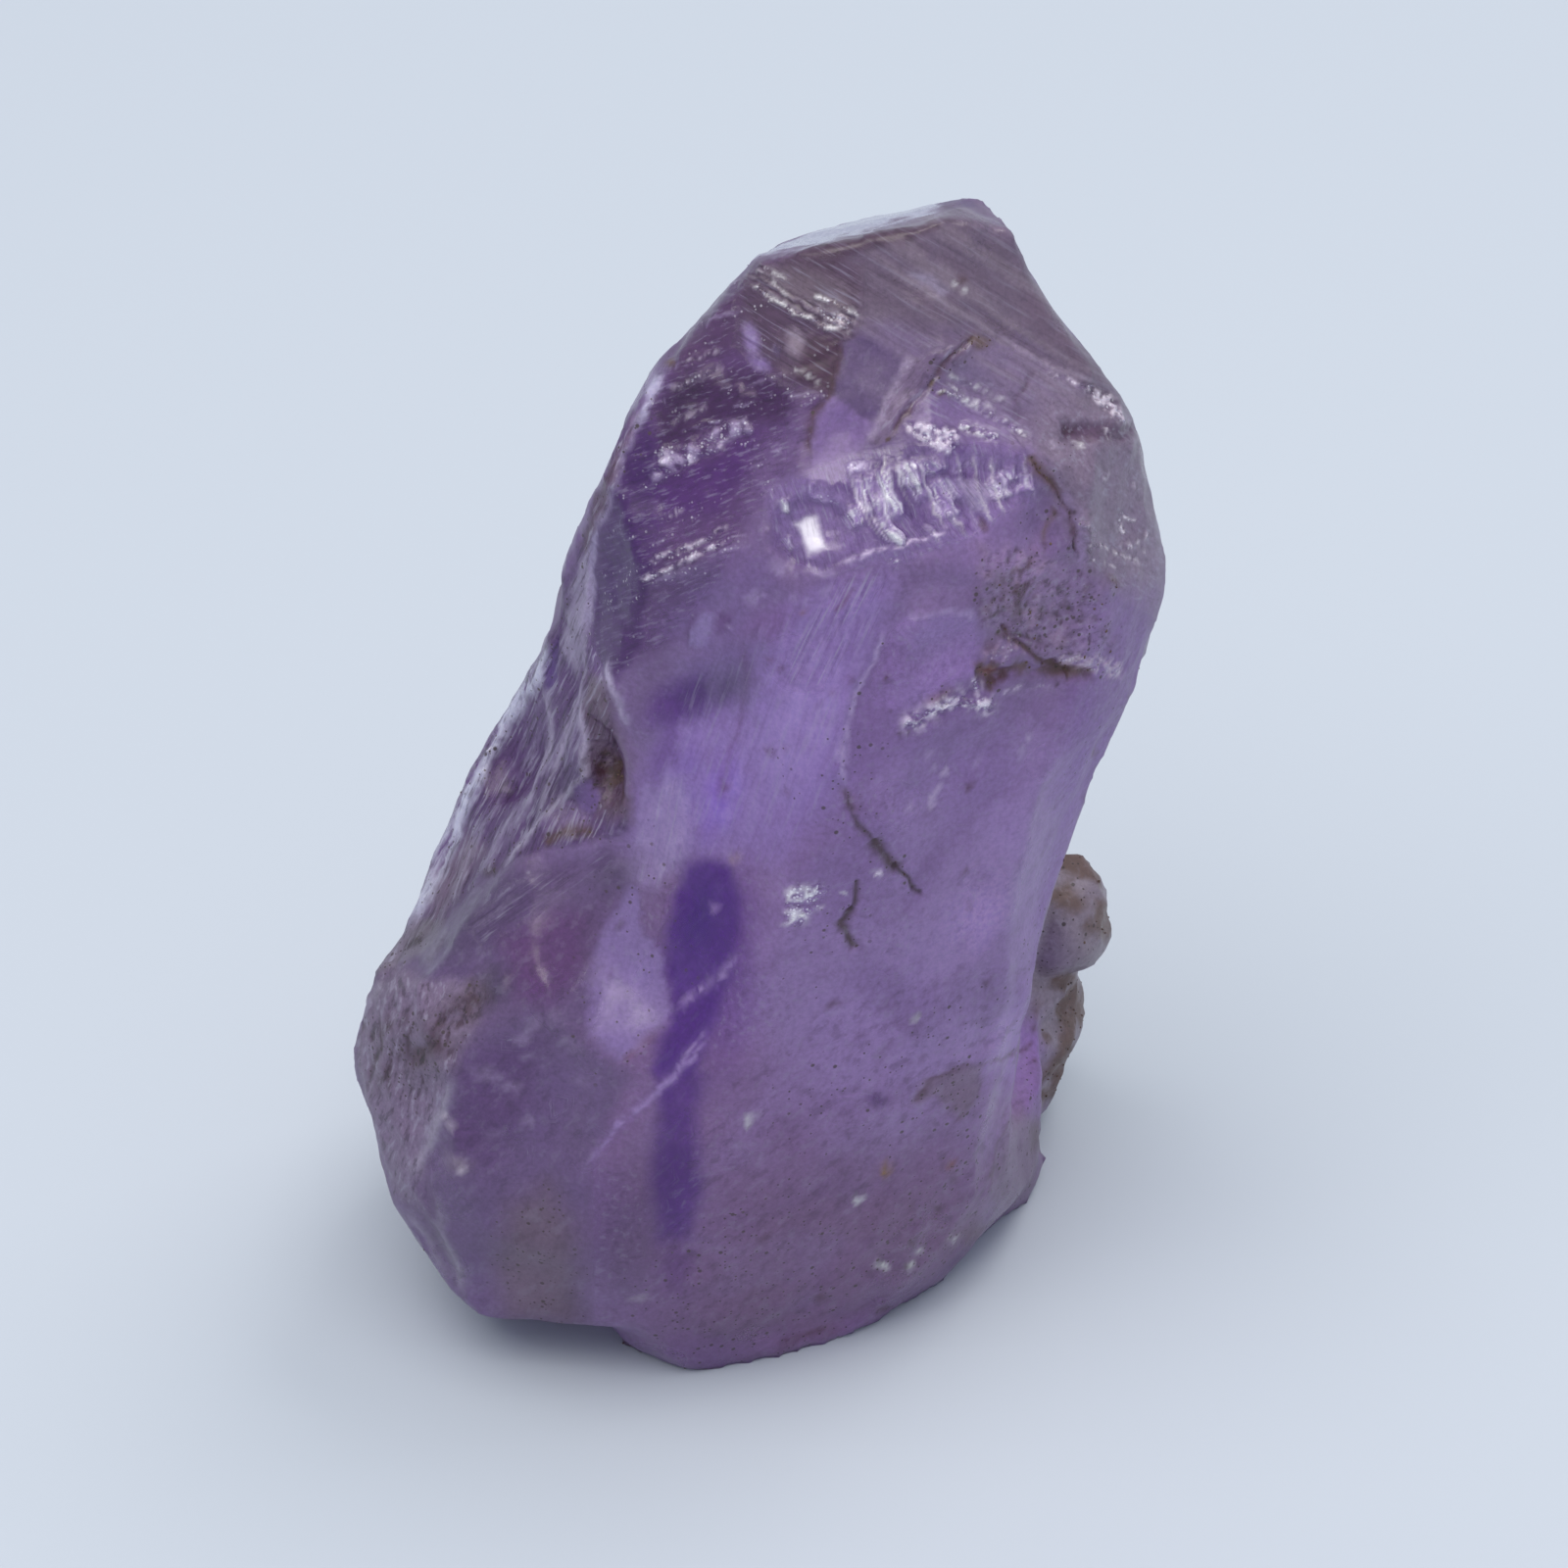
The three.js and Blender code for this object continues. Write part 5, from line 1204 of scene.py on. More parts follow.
def lower_front(skin):
    """The calm lower front: small stains, a soft dark spot inside, and the bulge at the right foot."""
    spot = skin.oval((4.98, 7.06), 0.51, 0.43, 0, soft=1.0)
    skin.paint(0.85 * spot, (74, 56, 98))
    stain = skin.area([
        (5.89, 7.01), (6.22, 7.62), (6.88, 7.87), (7.62, 7.98), (7.62, 7.37), (7.06, 6.6), (6.48, 7.11)],
        0.14)
    skin.paint(0.7 * stain, (112, 100, 114))
    skin.mark(specks=stain)
    for knots, width in (
        ([(5.89, 7.01), (6.22, 7.32), (6.4, 7.62), (6.88, 7.87), (7.42, 8.0)], 0.07),
        ([(7.42, 8.0), (8.2, 8.08), (9.07, 8.61)], 0.05),
        ([(7.67, 7.47), (7.37, 6.98), (6.91, 6.5)], 0.06),
        ([(2.24, 0.71), (3.15, 0.94), (4.09, 1.07)], 0.07),
        ([(4.95, 1.5), (5.36, 1.68)], 0.07),
    ):
        mark = skin.line(knots, width)
        skin.relief -= 0.03 * mark
        skin.paint(0.65 * mark, (78, 62, 72))
        skin.mark(specks=skin.line(knots, 2 * width))
    arc = [(8.53, 6.71), (8.31, 6.35), (8.08, 6.02), (7.9, 5.28), (7.92, 4.7), (8.13, 4.32)]
    bulge = skin.area([(8.64, 6.86), (9.3, 6.35), (9.25, 4.83), (8.13, 4.06), (7.92, 5.33)], 0.25)
    skin.paint(0.75 * bulge, (110, 98, 120))
    skin.ledge(arc[::-1], 0.4, 0.05)
    skin.paint(0.6 * skin.line(arc, 0.06), (82, 66, 86))
    skin.mark(specks=np.maximum(0.5 * bulge, skin.oval((8.38, 6.25), 0.3, 0.2, 40, soft=0.8)))
    skin.paint(0.7 * skin.oval((9.02, 6.1), 0.3, 0.56, 0, soft=0.8), (92, 86, 92))
    trail = skin.line([(7.67, 7.47), (7.37, 5.59), (6.48, 5.03), (5.69, 4.37), (5.49, 4.22)], 0.4, fade=0.1)
    skin.mark(specks=0.8 * trail)
    skin.mark(specks=0.75 * skin.area([
        (4.06, 3.56), (6.6, 5.59), (7.87, 5.08), (7.62, 3.3), (5.08, 1.78)], 0.6))
    skin.mark(specks=0.5 * skin.area([
        (-1.52, 2.54), (3.05, 5.08), (5.08, 2.54), (2.54, 0.25), (-1.02, 0.51)], 0.6))
    brown = skin.area([(6.98, 3.61), (7.62, 3.94), (7.92, 3.68), (7.24, 3.25)], 0.2)
    skin.paint(0.5 * brown, (96, 84, 88))
    edge = skin.area([(8.74, 8.0), (9.19, 8.13), (9.19, 6.6), (8.74, 6.86)], 0.15)
    skin.mark(specks=edge)
    grain = skin.dots([(5.13, 5.33), (5.16, 5.18)], 0.12)
    skin.relief += 0.05 * grain
    skin.paint(grain, (128, 104, 60))
    skin.paint(0.8 * skin.dots([(6.86, 5.38), (6.78, 5.36)], 0.1), (112, 76, 62))
    glints = [(5.03, 2.77), (5.11, 2.74), (6.07, 3.12), (5.82, 2.79), (6.93, 3.43), (5.92, 9.27),
              (1.57, 6.48), (1.65, 6.58), (-1.27, 1.93), (4.42, 4.5), (5.77, 2.77)]
    skin.relief += 0.03 * skin.dots(glints, 0.09)
    skin.paint(0.95 * skin.dots(glints, 0.085), (222, 218, 230))
    darks = [
        (5.69, 2.77), (5.87, 3.35), (6.55, 4.19), (6.98, 5.03), (7.82, 5.13), (3.43, 1.96), (5.79, 4.24),
        (9.02, 8.94), (8.94, 8.03), (7.75, 10.06), (3.76, 9.53), (4.06, 9.6), (2.06, 3.43), (-0.61, 6.6),
        (1.57, 6.91)]
    skin.paint(0.75 * skin.dots(darks, 0.09), (66, 50, 62))
    skin.paint(0.5 * skin.oval((3.45, 1.96), 0.2, 0.2, 0, soft=0.8), (84, 66, 82))
    pits = climb(-skin.waves(0.3, 217), 0.55, 0.95)
    calm = skin.area([
        (0.51, 7.11), (5.08, 10.67), (9.14, 10.67), (8.64, 3.56), (1.52, 0.51), (-1.52, 1.52)], 0.6)
    skin.hatch(calm, 38, 0.2, 0.4, pale=0.16, dark=0.4)
    skin.relief -= 0.012 * calm * pits
    skin.paint(0.28 * calm * pits, (88, 72, 102))


def knob(skin):
    """The pale rough knob at the back right, with brown stains in its hollows."""
    middle, starts_behind, whole_behind = (9.9, 10.4), 8.3, 9.4
    reach = np.hypot(skin.across - middle[0], skin.up - middle[1])
    near = (1 - climb(reach, 3.0, 4.6)) * climb(skin.back, starts_behind, whole_behind)
    skin.relief += near * (0.1 * skin.waves(0.9, 221) + 0.05 * skin.waves(0.4, 222))
    skin.paint(0.95 * near, (116, 111, 120))
    skin.lessen(clear=0.4 * near)
    stains = climb(skin.waves(0.9, 223, octaves=2), 0.1, 0.7)
    stains = np.maximum(stains, skin.oval((10.49, 11.56), 0.3, 0.41, 60, soft=0.9))
    stains = np.maximum(stains, skin.oval((9.91, 10.16), 0.25, 0.66, 80, soft=0.9))
    skin.paint(0.75 * near * stains, (84, 70, 60))
    skin.mark(earth=0.5 * near * stains, specks=0.4 * near, grain=near)


def back_ripples(skin):
    """Shell-like ripples and earthy hollows on the sides and the back."""
    hidden = climb(-skin.facing, -0.1, 0.25)
    blows = (
        ((-6.0, 2.0, 20.0), 1.1),
        ((7.0, 4.0, 21.0), 0.9),
        ((0.0, 9.0, 6.0), 1.3),
        ((-7.0, 0.0, 7.0), 0.9),
    )
    for k, (place, spacing) in enumerate(blows):
        distance = np.linalg.norm(skin.points - np.array(place), axis=1)
        fade = (1 - climb(distance, 4.0, 9.0)) * hidden
        skin.relief += 0.05 * fade * np.sin(distance * 2 * math.pi / spacing + skin.waves(2.0, 231 + k))
    patches = climb(skin.waves(2.4, 241, octaves=3), 0.4, 1.1) * hidden
    skin.paint(0.5 * patches, (108, 96, 98))
    skin.mark(earth=0.5 * patches, specks=0.6 * hidden * climb(skin.waves(3.0, 251), -0.2, 0.8))
    veins = 1 - climb(np.abs(skin.waves(3.2, 261, octaves=2)), 0.0, 0.12)
    skin.relief -= 0.08 * hidden * veins
    skin.mark(earth=0.7 * hidden * veins)


def painted_glow_and_shade(skin):
    """Painted light and shade: ovals that make the colour lighter where light gathers inside the stone, and
    darker where it is lost.
    """
    for at, long, wide, turn, change in (
        ((0.89, 18.03), 2.0, 1.2, 30, -0.34),
        ((-0.25, 20.57), 1.6, 1.1, 30, -0.2),
        ((5.46, 23.83), 1.7, 0.9, 10, -0.25),
        ((7.87, 21.34), 2.0, 1.4, 0, 0.3),
        ((-5.59, 11.68), 3.2, 1.5, 40, -0.32),
        ((-3.17, 14.99), 1.7, 0.9, 60, -0.34),
        ((8.51, 7.87), 4.4, 1.1, 85, 0.3),
        ((-1.27, 4.06), 3.2, 1.5, 80, -0.24),
        ((-5.08, 1.91), 2.2, 1.1, 10, 0.32),
        ((3.81, 0.81), 2.6, 0.9, 0, 0.34),
        ((7.62, 11.68), 1.4, 1.2, 0, 0.2),
        ((0.0, 25.4), 1.2, 0.7, 45, -0.25),
        ((1.27, 17.73), 1.1, 0.9, 30, -0.34),
        ((-1.68, 13.0), 1.1, 0.8, 30, -0.3),
        ((-4.93, 10.01), 1.0, 0.7, 50, -0.4),
        ((8.89, 20.83), 1.2, 1.2, 0, 0.24),
        ((-1.52, 3.05), 1.6, 1.2, 80, -0.16),
        ((-7.87, 9.91), 1.0, 0.8, 40, -0.3),
    ):
        skin.colour *= 1 + change * skin.oval(at, long, wide, turn, soft=0.9)[:, None]


def rounded_foot(skin):
    """The foot's lower edge, rounded in under the stone, and most of all at the left."""
    edge_height, depth, more_at_left = 0.8, 0.05, 0.30
    low = climb(edge_height - skin.points[:, 2], 0.0, edge_height)
    sideways = np.linalg.norm(skin.outwards[:, :2], axis=1)
    left = climb(-skin.across, 1.0, 2.5)
    skin.relief -= (depth + more_at_left * left) * low * climb(sideways, 0.3, 0.8)


# Zones of the front with smaller faces: many-sided areas, and lines with a width
FINE_AREAS = (
    [(-4.4, 20.0), (0.4, 30.4), (8.0, 31.4), (13.0, 22.5), (12.0, 16.8), (3.0, 16.6), (-2.8, 17.4)],
    [(-9.6, 10.6), (-4.8, 20.0), (-2.6, 20.0), (-0.6, 14.6), (-4.0, 12.4), (-6.4, 6.0), (-8.4, 5.0)],
)
FINE_LINES = (
    ([(3.9, 15.1), (4.4, 13.9), (6.1, 12.4)], 0.7),
    ([(4.5, 13.0), (4.0, 11.6), (4.5, 10.9)], 0.6),
    ([(2.4, 12.1), (3.7, 12.6)], 0.6),
    ([(-0.8, 12.4), (1.9, 13.2), (1.6, 9.4), (-3.3, 5.4)], 0.5),
    ([(5.4, 7.1), (7.4, 8.0), (9.1, 8.6)], 0.6),
    ([(8.6, 6.7), (7.8, 5.2), (6.0, 3.2), (4.8, 2.9)], 0.5),
)
FINEST_AREAS = (
    [(2.2, 21.2), (2.6, 23.6), (5.6, 25.4), (9.0, 24.0), (9.1, 22.4), (6.4, 21.0), (3.4, 20.4)],
)
FINEST_LINES = (
    ([(7.6, 27.0), (5.2, 23.8)], 0.5),
    ([(-1.6, 20.3), (1.5, 22.0)], 0.35),
    ([(-1.0, 23.4), (1.9, 24.8)], 0.55),
    ([(1.5, 28.4), (4.4, 26.8)], 0.55),
    ([(10.2, 25.4), (11.4, 24.5)], 0.45),
    ([(8.8, 23.9), (10.1, 22.3), (10.2, 21.0)], 0.3),
    ([(11.6, 22.2), (10.4, 21.2)], 0.4),
    ([(5.4, 16.8), (7.3, 17.5), (8.2, 17.2)], 0.35),
    ([(7.4, 18.3), (9.2, 18.2), (11.2, 18.3)], 0.35),
    ([(8.1, 19.3), (9.8, 18.1)], 0.25),
    ([(4.2, 14.2), (6.0, 12.5)], 0.25),
    ([(4.4, 12.9), (4.0, 11.5), (4.5, 11.0)], 0.25),
)


# A place where the broad form is evened out, and how many times its points are drawn together
EVEN_AREA = [(-4.06, 13.67), (-1.52, 13.41), (-0.25, 12.7), (1.91, 11.18), (2.16, 8.25), (0.0, 7.49),
             (-2.54, 8.25), (-3.86, 10.54)]
EVEN_PASSES = 60

# The finest faces before any are cut smaller, how near points are one, and the passes that round new points
FACE_SIZE = 0.247 * MM
SAME_PLACE = 1e-7
ROUND_PASSES = 2


@contextmanager
def opened(mesh):
    """A mesh laid open to work on, and closed again at the end."""
    work = bmesh.new()
    work.from_mesh(mesh)
    work.verts.ensure_lookup_table()
    work.faces.ensure_lookup_table()
    yield work
    work.to_mesh(mesh)
    work.free()
    mesh.update()


def draw_together(work, points, passes):
    """Moves points half way to the middle of their neighbours, a number of times."""
    for _ in range(passes):
        bmesh.ops.smooth_vert(work, verts=points, factor=0.5, use_axis_x=True, use_axis_y=True,
                              use_axis_z=True)


def skin_of(mesh):
    """The surface of a mesh that is given in metres."""
    points = np.empty(3 * len(mesh.vertices))
    outwards = np.empty(3 * len(mesh.vertices))
    mesh.vertices.foreach_get("co", points)
    mesh.vertices.foreach_get("normal", outwards)
    return Skin(points.reshape(-1, 3) / MM, outwards.reshape(-1, 3))


def even_out(mesh):
    """Softens the broad form in one area of the front, where flat planes met in a step."""
    inside = skin_of(mesh).area(EVEN_AREA, 0.1) > 0.5
    with opened(mesh) as work:
        draw_together(work, [work.verts[k] for k in np.flatnonzero(inside)], EVEN_PASSES)


def refine(mesh, areas, lines):
    """Cuts the faces in some zones of the front into four, and rounds the new points in."""
    with opened(mesh) as work:
        centres = np.array([face.calc_center_median() for face in work.faces]) / MM
        places = Skin(centres, np.array([face.normal for face in work.faces]))
        chosen = np.zeros(len(centres), bool)
        for corners in areas:
            chosen |= places.area(corners, 0.05) > 0.3
        for knots, width in lines:
            chosen |= (places.beside(knots)[0] < width) & (places.facing > 0)
        zone = [work.faces[k] for k in np.flatnonzero(chosen)]
        edges = list({edge for face in zone for edge in face.edges})
        points = {point for face in zone for point in face.verts}
        cut = bmesh.ops.subdivide_edges(work, edges=edges, cuts=1, use_grid_fill=True)
        points.update(item for item in cut["geom_inner"] if isinstance(item, bmesh.types.BMVert))
        draw_together(work, [point for point in points if point.is_valid], ROUND_PASSES)
        for face in work.faces:
            face.smooth = True


def add_object(name, data):
    """Puts an object into the scene."""
    thing = bpy.data.objects.new(name, data)
    bpy.context.scene.collection.objects.link(thing)
    return thing


def settle(thing):
    """Makes what an object's modifiers give into its own plain mesh."""
    made = bpy.data.meshes.new_from_object(thing.evaluated_get(bpy.context.evaluated_depsgraph_get()))
    thing.modifiers.clear()
    thing.data = made


def fine_stone():
    """A copy of the stone's solid, made again of fine even faces that can carry small relief."""
    mesh = bpy.data.objects[STONE].data.copy()
    with opened(mesh) as work:
        bmesh.ops.remove_doubles(work, verts=work.verts, dist=SAME_PLACE)
    stone = add_object("stone_surface", mesh)
    stone.data.materials.clear()
    remesh = stone.modifiers.new("even_faces", "REMESH")
    remesh.mode = "VOXEL"
    remesh.voxel_size = FACE_SIZE
    remesh.use_smooth_shade = True
    settle(stone)
    even_out(stone.data)
    refine(stone.data, FINE_AREAS, FINE_LINES)
    refine(stone.data, FINEST_AREAS, FINEST_LINES)
    return stone


def dress(stone):
    """Gives the fine copy its relief, colours and dirt, and its painted light and shade."""
    skin = skin_of(stone.data)
    for part in (whole_stone, broad_colours, smoky_tip, violet_slope, chatter_marks, lilac_facets,
                 dirty_groove, bright_flutes, crescent_band, right_shoulder, pitted_patch, step_and_cracks,
                 violet_band, lilac_patch, left_wall, lobe, lower_front, knob, back_ripples, painted_glow_and_shade,
                 rounded_foot):
        part(skin)
    skin.finish(stone.data)


def socket(node, name, value):
    """Sets a number or a colour on a node's own socket."""
    node.inputs[name].default_value = value


class Wiring:
    """Adds nodes to a tree and joins them."""

    def __init__(self, tree):
        self.tree = tree

    def add(self, kind, settings=(), **inputs):
        """A new node, with its settings and what goes into its sockets."""
        node = self.tree.nodes.new(kind)
        for name, value in settings:
            setattr(node, name, value)
        for name, value in inputs.items():
            self.feed(node, name.replace("_", " "), value)
        return node

    def feed(self, node, name, value):
        """Joins another node's output to a socket, or sets the socket's own value."""
        target = node.inputs[int(name)] if name.isdigit() else node.inputs[name]
        if isinstance(value, bpy.types.NodeSocket):
            self.tree.links.new(value, target)
        else:
            target.default_value = value

    def layer(self, name):
        """The colour that the mesh stores in each point under a name."""
        return self.add("ShaderNodeAttribute", [("attribute_name", name)]).outputs["Color"]

    def parts(self, colour):
        """The red, green and blue of a colour."""
        return list(self.add("ShaderNodeSeparateColor", Color=colour).outputs)[:3]

    def sum(self, operation, first, second):
        """Two values added, multiplied or compared, and kept from 0 to 1."""
        node = self.add("ShaderNodeMath", [("operation", operation), ("use_clamp", True)])
        self.feed(node, "0", first)
        self.feed(node, "1", second)
        return node.outputs["Value"]

    def product(self, *values):
        """All of the values multiplied."""
        total = values[0]
        for value in values[1:]:
            total = self.sum("MULTIPLY", total, value)
        return total

    def between(self, value, low, high, start=0.0, end=1.0):
        """A smooth change from start to end while a value goes from low to high."""
        node = self.add("ShaderNodeMapRange", [("interpolation_type", "SMOOTHSTEP")])
        for name, number in (("Value", value), ("From Min", low), ("From Max", high), ("To Min", start),
                             ("To Max", end)):
            self.feed(node, name, number)
        return node.outputs["Result"]

    def mix(self, share, first, second, blend="MIX"):
        """The first colour with a share of the second laid over it."""
        node = self.add("ShaderNodeMix", [("data_type", "RGBA"), ("blend_type", blend)])
        self.feed(node, "0", share)
        self.feed(node, "6", first)
        self.feed(node, "7", second)
        return node.outputs[2]

    def cells(self, place, scale):
        """Random small cells: how far the middle of each is, and its random number."""
        node = self.add("ShaderNodeTexVoronoi", Vector=place, Scale=scale, Randomness=1.0)
        return node.outputs["Distance"], self.parts(node.outputs["Color"])[0]


# Quartz: how it bends and takes up light, and the most that its surface lets through
REFRACTION = 1.544
LEFT_OVER = (0.72, 0.58, 0.88, 1.0)
TAKEN_UP = 60.0
SEEN_THROUGH = 0.65

# Its fine marks: noise waves or cells to the metre, for specks also the start and end of each one's rim
FINE_WAVES = 8000.0
MEDIUM_WAVES = 1500.0
SPECKS = ((3400.0, 0.14, 0.26), (7200.0, 0.16, 0.30))
SPARKLES = 12000.0
BUMP_HEIGHT = 0.06 * MM

DARK_GRAIN, PALE_GRAIN = (0.37, 0.37, 0.37, 1.0), (0.63, 0.63, 0.63, 1.0)
DARK_STROKE, PALE_STROKE = (0.34, 0.30, 0.34, 1.0), (0.50, 0.46, 0.62, 1.0)
EARTH_FILM, EARTH_SPECK = (*linear(82, 66, 60), 1.0), (*linear(56, 42, 44), 1.0)
SPARKLE = (0.86, 0.85, 0.92, 1.0)


def quartz_material():
    """Violet quartz, partly see-through: the surface's own colour, with film, specks, painted glints and fine
    grain.
    """
    material = bpy.data.materials.new("violet_and_smoky_quartz")
    material.use_nodes = True
    tree = material.node_tree
    wiring = Wiring(tree)
    shader = tree.nodes["Principled BSDF"]
    own = wiring.layer("stone_colour")
    earth, speckled, gloss = wiring.parts(wiring.layer("stone_film"))
    clear, grain, glitter = wiring.parts(wiring.layer("stone_body"))
    pale, dark = wiring.parts(wiring.layer("stone_lines"))[:2]
    way = wiring.add("ShaderNodeAttribute", [("attribute_name", "stone_strokes")]).outputs["Vector"]
    place = wiring.add("ShaderNodeTexCoord").outputs["Object"]
    fine = wiring.add("ShaderNodeTexNoise", Vector=place, Scale=FINE_WAVES, Detail=4.0,
                      Roughness=0.65).outputs["Fac"]
    medium = wiring.add("ShaderNodeTexNoise", Vector=place, Scale=MEDIUM_WAVES, Detail=4.0).outputs["Fac"]
    # Small dark grains of earth, in groups
    specks = None
    grouped = wiring.between(medium, 0.40, 0.60, 0.25, 1.0)
    for scale, low, high in SPECKS:
        distance, chance = wiring.cells(place, scale)
        dots = wiring.between(distance, low, high, 1.0, 0.0)
        chosen = wiring.between(wiring.sum("ADD", chance, wiring.product(speckled, grouped, 0.6)), 0.93, 0.97)
        layer = wiring.product(dots, chosen, wiring.between(speckled, 0.02, 0.15))
        specks = layer if specks is None else wiring.sum("MAXIMUM", specks, layer)
    film = wiring.product(earth, wiring.between(medium, 0.34, 0.58))
    # Painted glints: bright points of broken faces, laid into the colour as pale dots
    distance, chance = wiring.cells(place, SPARKLES)
    bright = wiring.between(wiring.sum("ADD", chance, wiring.product(glitter, 0.45)), 0.90, 0.98)
    sparkle = wiring.product(bright, glitter, wiring.between(distance, 0.30, 0.55, 1.0, 0.0))
    shade = wiring.mix(wiring.between(fine, 0.3, 0.7), DARK_GRAIN, PALE_GRAIN)
    colour = wiring.mix(0.55, own, shade, "OVERLAY")
    # Fine strokes and flecks, drawn out the way that each place is grained
    drawn = wiring.add("ShaderNodeTexNoise", Vector=way, Scale=1.0, Detail=3.0, Roughness=0.6).outputs["Fac"]
    strokes_dark = wiring.product(wiring.between(drawn, 0.47, 0.33), dark)
    strokes_pale = wiring.product(wiring.between(drawn, 0.53, 0.68), pale)
    colour = wiring.mix(strokes_dark, colour, wiring.mix(1.0, colour, DARK_STROKE, "MULTIPLY"))
    colour = wiring.mix(strokes_pale, colour, PALE_STROKE)
    colour = wiring.mix(wiring.product(film, 0.85), colour, EARTH_FILM)
    colour = wiring.mix(wiring.product(specks, 0.9), colour, EARTH_SPECK)
    colour = wiring.mix(wiring.product(sparkle, 0.75), colour, SPARKLE)
    wiring.feed(shader, "Base Color", colour)
    dull = wiring.between(gloss, 0.0, 1.0, 0.50, 0.12)
    wiring.feed(shader, "Roughness", wiring.sum("ADD", dull, wiring.product(film, 0.35)))
    solid = wiring.sum("MAXIMUM", film, wiring.sum("MAXIMUM", specks, sparkle))
    open_share = wiring.between(solid, 0.0, 1.0, 1.0, 0.1)
    wiring.feed(shader, "Transmission Weight", wiring.product(clear, open_share, SEEN_THROUGH))
    socket(shader, "IOR", REFRACTION)
    height = wiring.product(fine, wiring.between(grain, 0.0, 1.0, 0.18, 0.9))
    height = wiring.sum("ADD", wiring.product(height, 0.5),
                        wiring.product(drawn, wiring.sum("MAXIMUM", pale, dark), 0.6))
    bump = wiring.add("ShaderNodeBump", Height=height, Strength=0.7, Distance=BUMP_HEIGHT)
    wiring.feed(shader, "Normal", bump.outputs["Normal"])
    absorb = tree.nodes.new("ShaderNodeVolumeAbsorption")
    socket(absorb, "Color", LEFT_OVER)
    socket(absorb, "Density", TAKEN_UP)
    tree.links.new(absorb.outputs["Volume"], tree.nodes["Material Output"].inputs["Volume"])
    return material


# Loose earth: how many grains lie to the square metre where the film is thickest, how big they are, and
# the least and the most of that size that a grain has each way
GRAINS_TO_THE_SQUARE_METRE = 1.4e7
GRAIN_RADIUS = 0.055 * MM
GRAIN_SEED = 7
LEAST_GRAIN, MOST_GRAIN = (0.35, 0.35, 0.25), (1.2, 1.0, 0.7)
# They are turned by up to half a turn either way
TURNED_LEAST, TURNED_MOST = (-3.1, -3.1, -3.1), (3.1, 3.1, 3.1)
EARTH_COLOUR = tuple(linear(92, 74, 66))


def plain_material(name, colour, roughness):
    """An even colour with an even finish."""
    material = bpy.data.materials.new(name)
    material.use_nodes = True
    shader = material.node_tree.nodes["Principled BSDF"]
    socket(shader, "Base Color", (*colour, 1.0))
    socket(shader, "Roughness", roughness)
    return material


def grain_tree(material):
    """Nodes that strew grains where the stone's film layer says that earth lies."""
    tree = bpy.data.node_groups.new("earth_grains", "GeometryNodeTree")
    face = tree.interface
    face.new_socket("Stone", in_out="INPUT", socket_type="NodeSocketGeometry")
    face.new_socket("Grains", in_out="OUTPUT", socket_type="NodeSocketGeometry")
    names = {}
    for name, kind in (("Grains per square metre", "NodeSocketFloat"), ("Grain size", "NodeSocketFloat"),
                       ("Seed", "NodeSocketInt")):
        names[name] = face.new_socket(name, in_out="INPUT", socket_type=kind).identifier
    wiring = Wiring(tree)
    start = wiring.add("NodeGroupInput")
    layer = wiring.add("GeometryNodeInputNamedAttribute", [("data_type", "FLOAT_VECTOR")])
    socket(layer, "Name", "stone_film")
    split = wiring.add("ShaderNodeSeparateXYZ", Vector=layer.outputs["Attribute"])
    # Most grains lie where the film is thick: they go by its square
    dirty = wiring.add("ShaderNodeMath", [("operation", "POWER")])
    wiring.feed(dirty, "0", split.outputs["X"])
    wiring.feed(dirty, "1", 2.0)
    thickness = wiring.add("ShaderNodeMath", [("operation", "MULTIPLY")])
    wiring.feed(thickness, "0", dirty.outputs["Value"])
    wiring.feed(thickness, "1", start.outputs["Grains per square metre"])
    strewn = wiring.add("GeometryNodeDistributePointsOnFaces", [("distribute_method", "RANDOM")],
                        Mesh=start.outputs["Stone"], Density=thickness.outputs["Value"],
                        Seed=start.outputs["Seed"])
    grain = wiring.add("GeometryNodeMeshIcoSphere", Radius=start.outputs["Grain size"], Subdivisions=1)
    sizes, turns = [wiring.add("FunctionNodeRandomValue", [("data_type", "FLOAT_VECTOR")]) for _ in range(2)]
    for node, least, most in ((sizes, LEAST_GRAIN, MOST_GRAIN), (turns, TURNED_LEAST, TURNED_MOST)):
        wiring.feed(node, "0", least)
        wiring.feed(node, "1", most)
    placed = wiring.add("GeometryNodeInstanceOnPoints", Points=strewn.outputs["Points"],
                        Instance=grain.outputs["Mesh"], Rotation=turns.outputs["Value"],
                        Scale=sizes.outputs["Value"])
    real = wiring.add("GeometryNodeRealizeInstances", Geometry=placed.outputs["Instances"])
    coloured = wiring.add("GeometryNodeSetMaterial", Geometry=real.outputs["Geometry"], Material=material)
    end = wiring.add("NodeGroupOutput")
    wiring.feed(end, "Grains", coloured.outputs["Geometry"])
    return tree, names


def strew_earth(stone):
    """The loose grains of earth in the hollows and cracks, as a piece of their own."""
    tree, names = grain_tree(plain_material("dry_earth", EARTH_COLOUR, 0.95))
    holder = add_object("earth_grains", stone.data.copy())
    strewing = holder.modifiers.new("earth_grains", "NODES")
    strewing.node_group = tree
    strewing[names["Grains per square metre"]] = GRAINS_TO_THE_SQUARE_METRE
    strewing[names["Grain size"]] = GRAIN_RADIUS
    strewing[names["Seed"]] = GRAIN_SEED
    settle(holder)
    layers = holder.data.attributes
    for name in [layer.name for layer in layers if layer.name.startswith("stone_")]:
        layers.remove(layers[name])
    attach(holder, "root")


# The camera's sensor, and the width of the picture where the stone stands, both in millimetres
SENSOR = 36.0
FRAME_WIDTH = 40.608

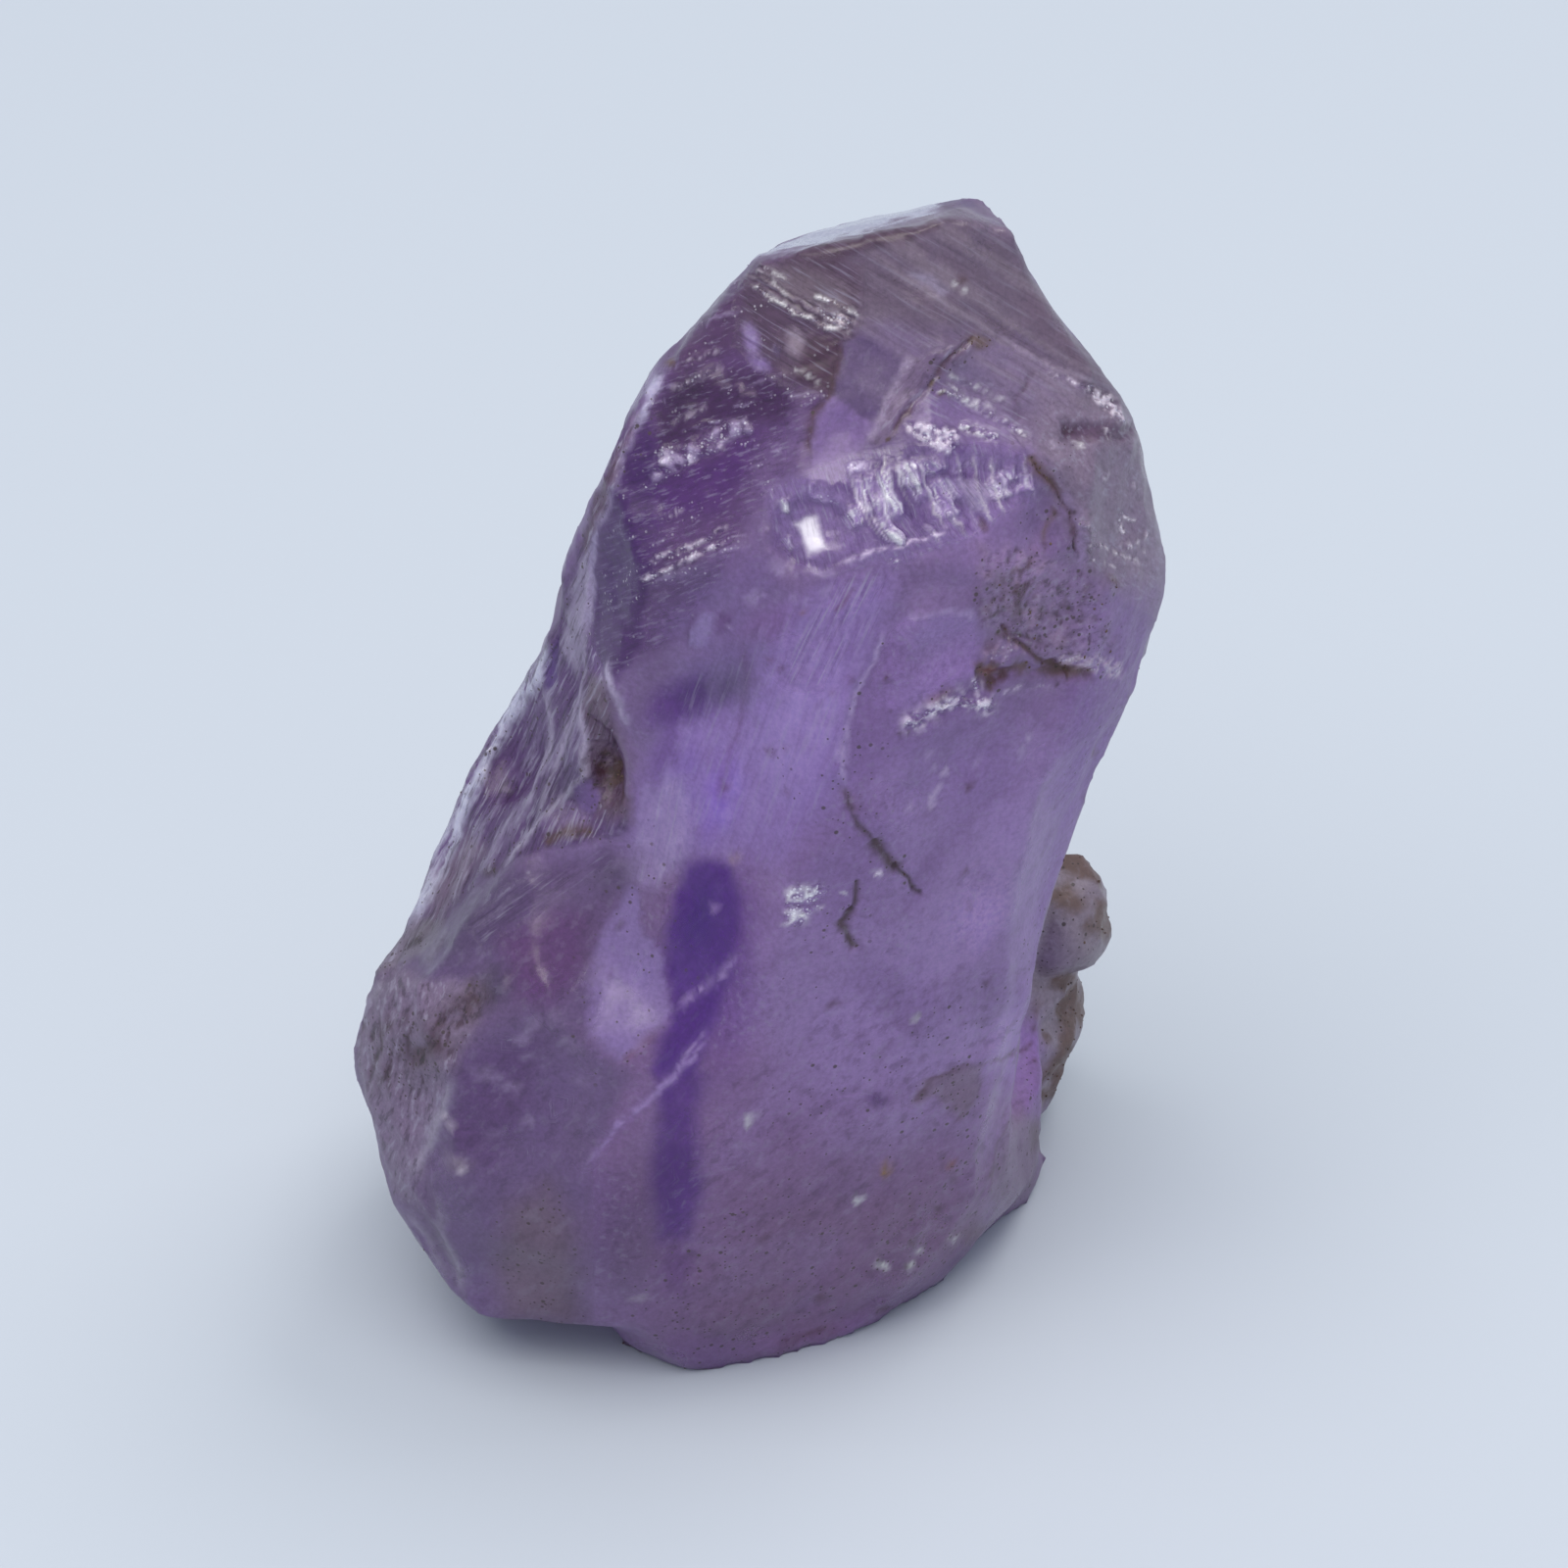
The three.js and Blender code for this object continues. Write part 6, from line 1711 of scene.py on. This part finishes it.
# The floor reaches this far from the middle, in metres
FLOOR_REACH = 3.0
FLOOR_COLOUR = (0.485, 0.525, 0.587)

# Lights: place, size, power in watts and colour of each; all of them look at one place in the stone
LOOK_AT = (0, 0, 0.012)
LIGHTS = {
    "overhead_softbox": ((-0.06, -0.115, 0.34), (0.32, 0.30), 0.92, (1.0, 0.96, 0.90)),
    "right_softbox": ((0.11, 0.06, 0.27), (0.13, 0.13), 0.24, (1.0, 0.96, 0.92)),
}
ROOM_COLOUR = (0.82, 0.90, 1.0, 1.0)
ROOM_STRENGTH = 0.72


def make_camera():
    """The camera, at the eye and turned as the layout is."""
    data = bpy.data.cameras.new("camera")
    data.sensor_width = SENSOR
    data.lens = SENSOR * EYE_DISTANCE / FRAME_WIDTH
    data.clip_start = 0.01
    data.clip_end = 20.0
    camera = add_object("camera", data)
    turn = Matrix((Vector(ACROSS), Vector(UP), Vector(OUT))).transposed()
    camera.matrix_world = Matrix.Translation(Vector((EYE - ORIGIN) * MM)) @ turn.to_4x4()
    bpy.context.scene.camera = camera


def make_floor():
    """The plain pale table."""
    mesh = bpy.data.meshes.new("floor")
    corners = [(x * FLOOR_REACH, y * FLOOR_REACH, 0) for x, y in ((-1, -1), (1, -1), (1, 1), (-1, 1))]
    mesh.from_pydata(corners, [], [(0, 1, 2, 3)])
    mesh.materials.append(plain_material("pale_table", FLOOR_COLOUR, 0.9))
    floor = add_object("floor", mesh)


def make_lights():
    """The soft lights and the pale room."""
    world = bpy.data.worlds.new("studio")
    world.use_nodes = True
    room = world.node_tree.nodes["Background"]
    socket(room, "Color", ROOM_COLOUR)
    socket(room, "Strength", ROOM_STRENGTH)
    bpy.context.scene.world = world
    for name, (place, size, power, colour) in LIGHTS.items():
        data = bpy.data.lights.new(name, "AREA")
        data.shape = "RECTANGLE"
        data.size, data.size_y = size
        data.energy = power
        data.color = colour
        light = add_object(name, data)
        light.location = place
        light.rotation_euler = (Vector(LOOK_AT) - Vector(place)).to_track_quat("-Z", "Y").to_euler()


make_camera()
make_floor()
make_lights()
stone = fine_stone()
dress(stone)
stone.data.materials.append(quartz_material())
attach(stone, "root")
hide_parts(STONE)
strew_earth(stone)

bpy.context.scene.view_settings.view_transform = "Standard"
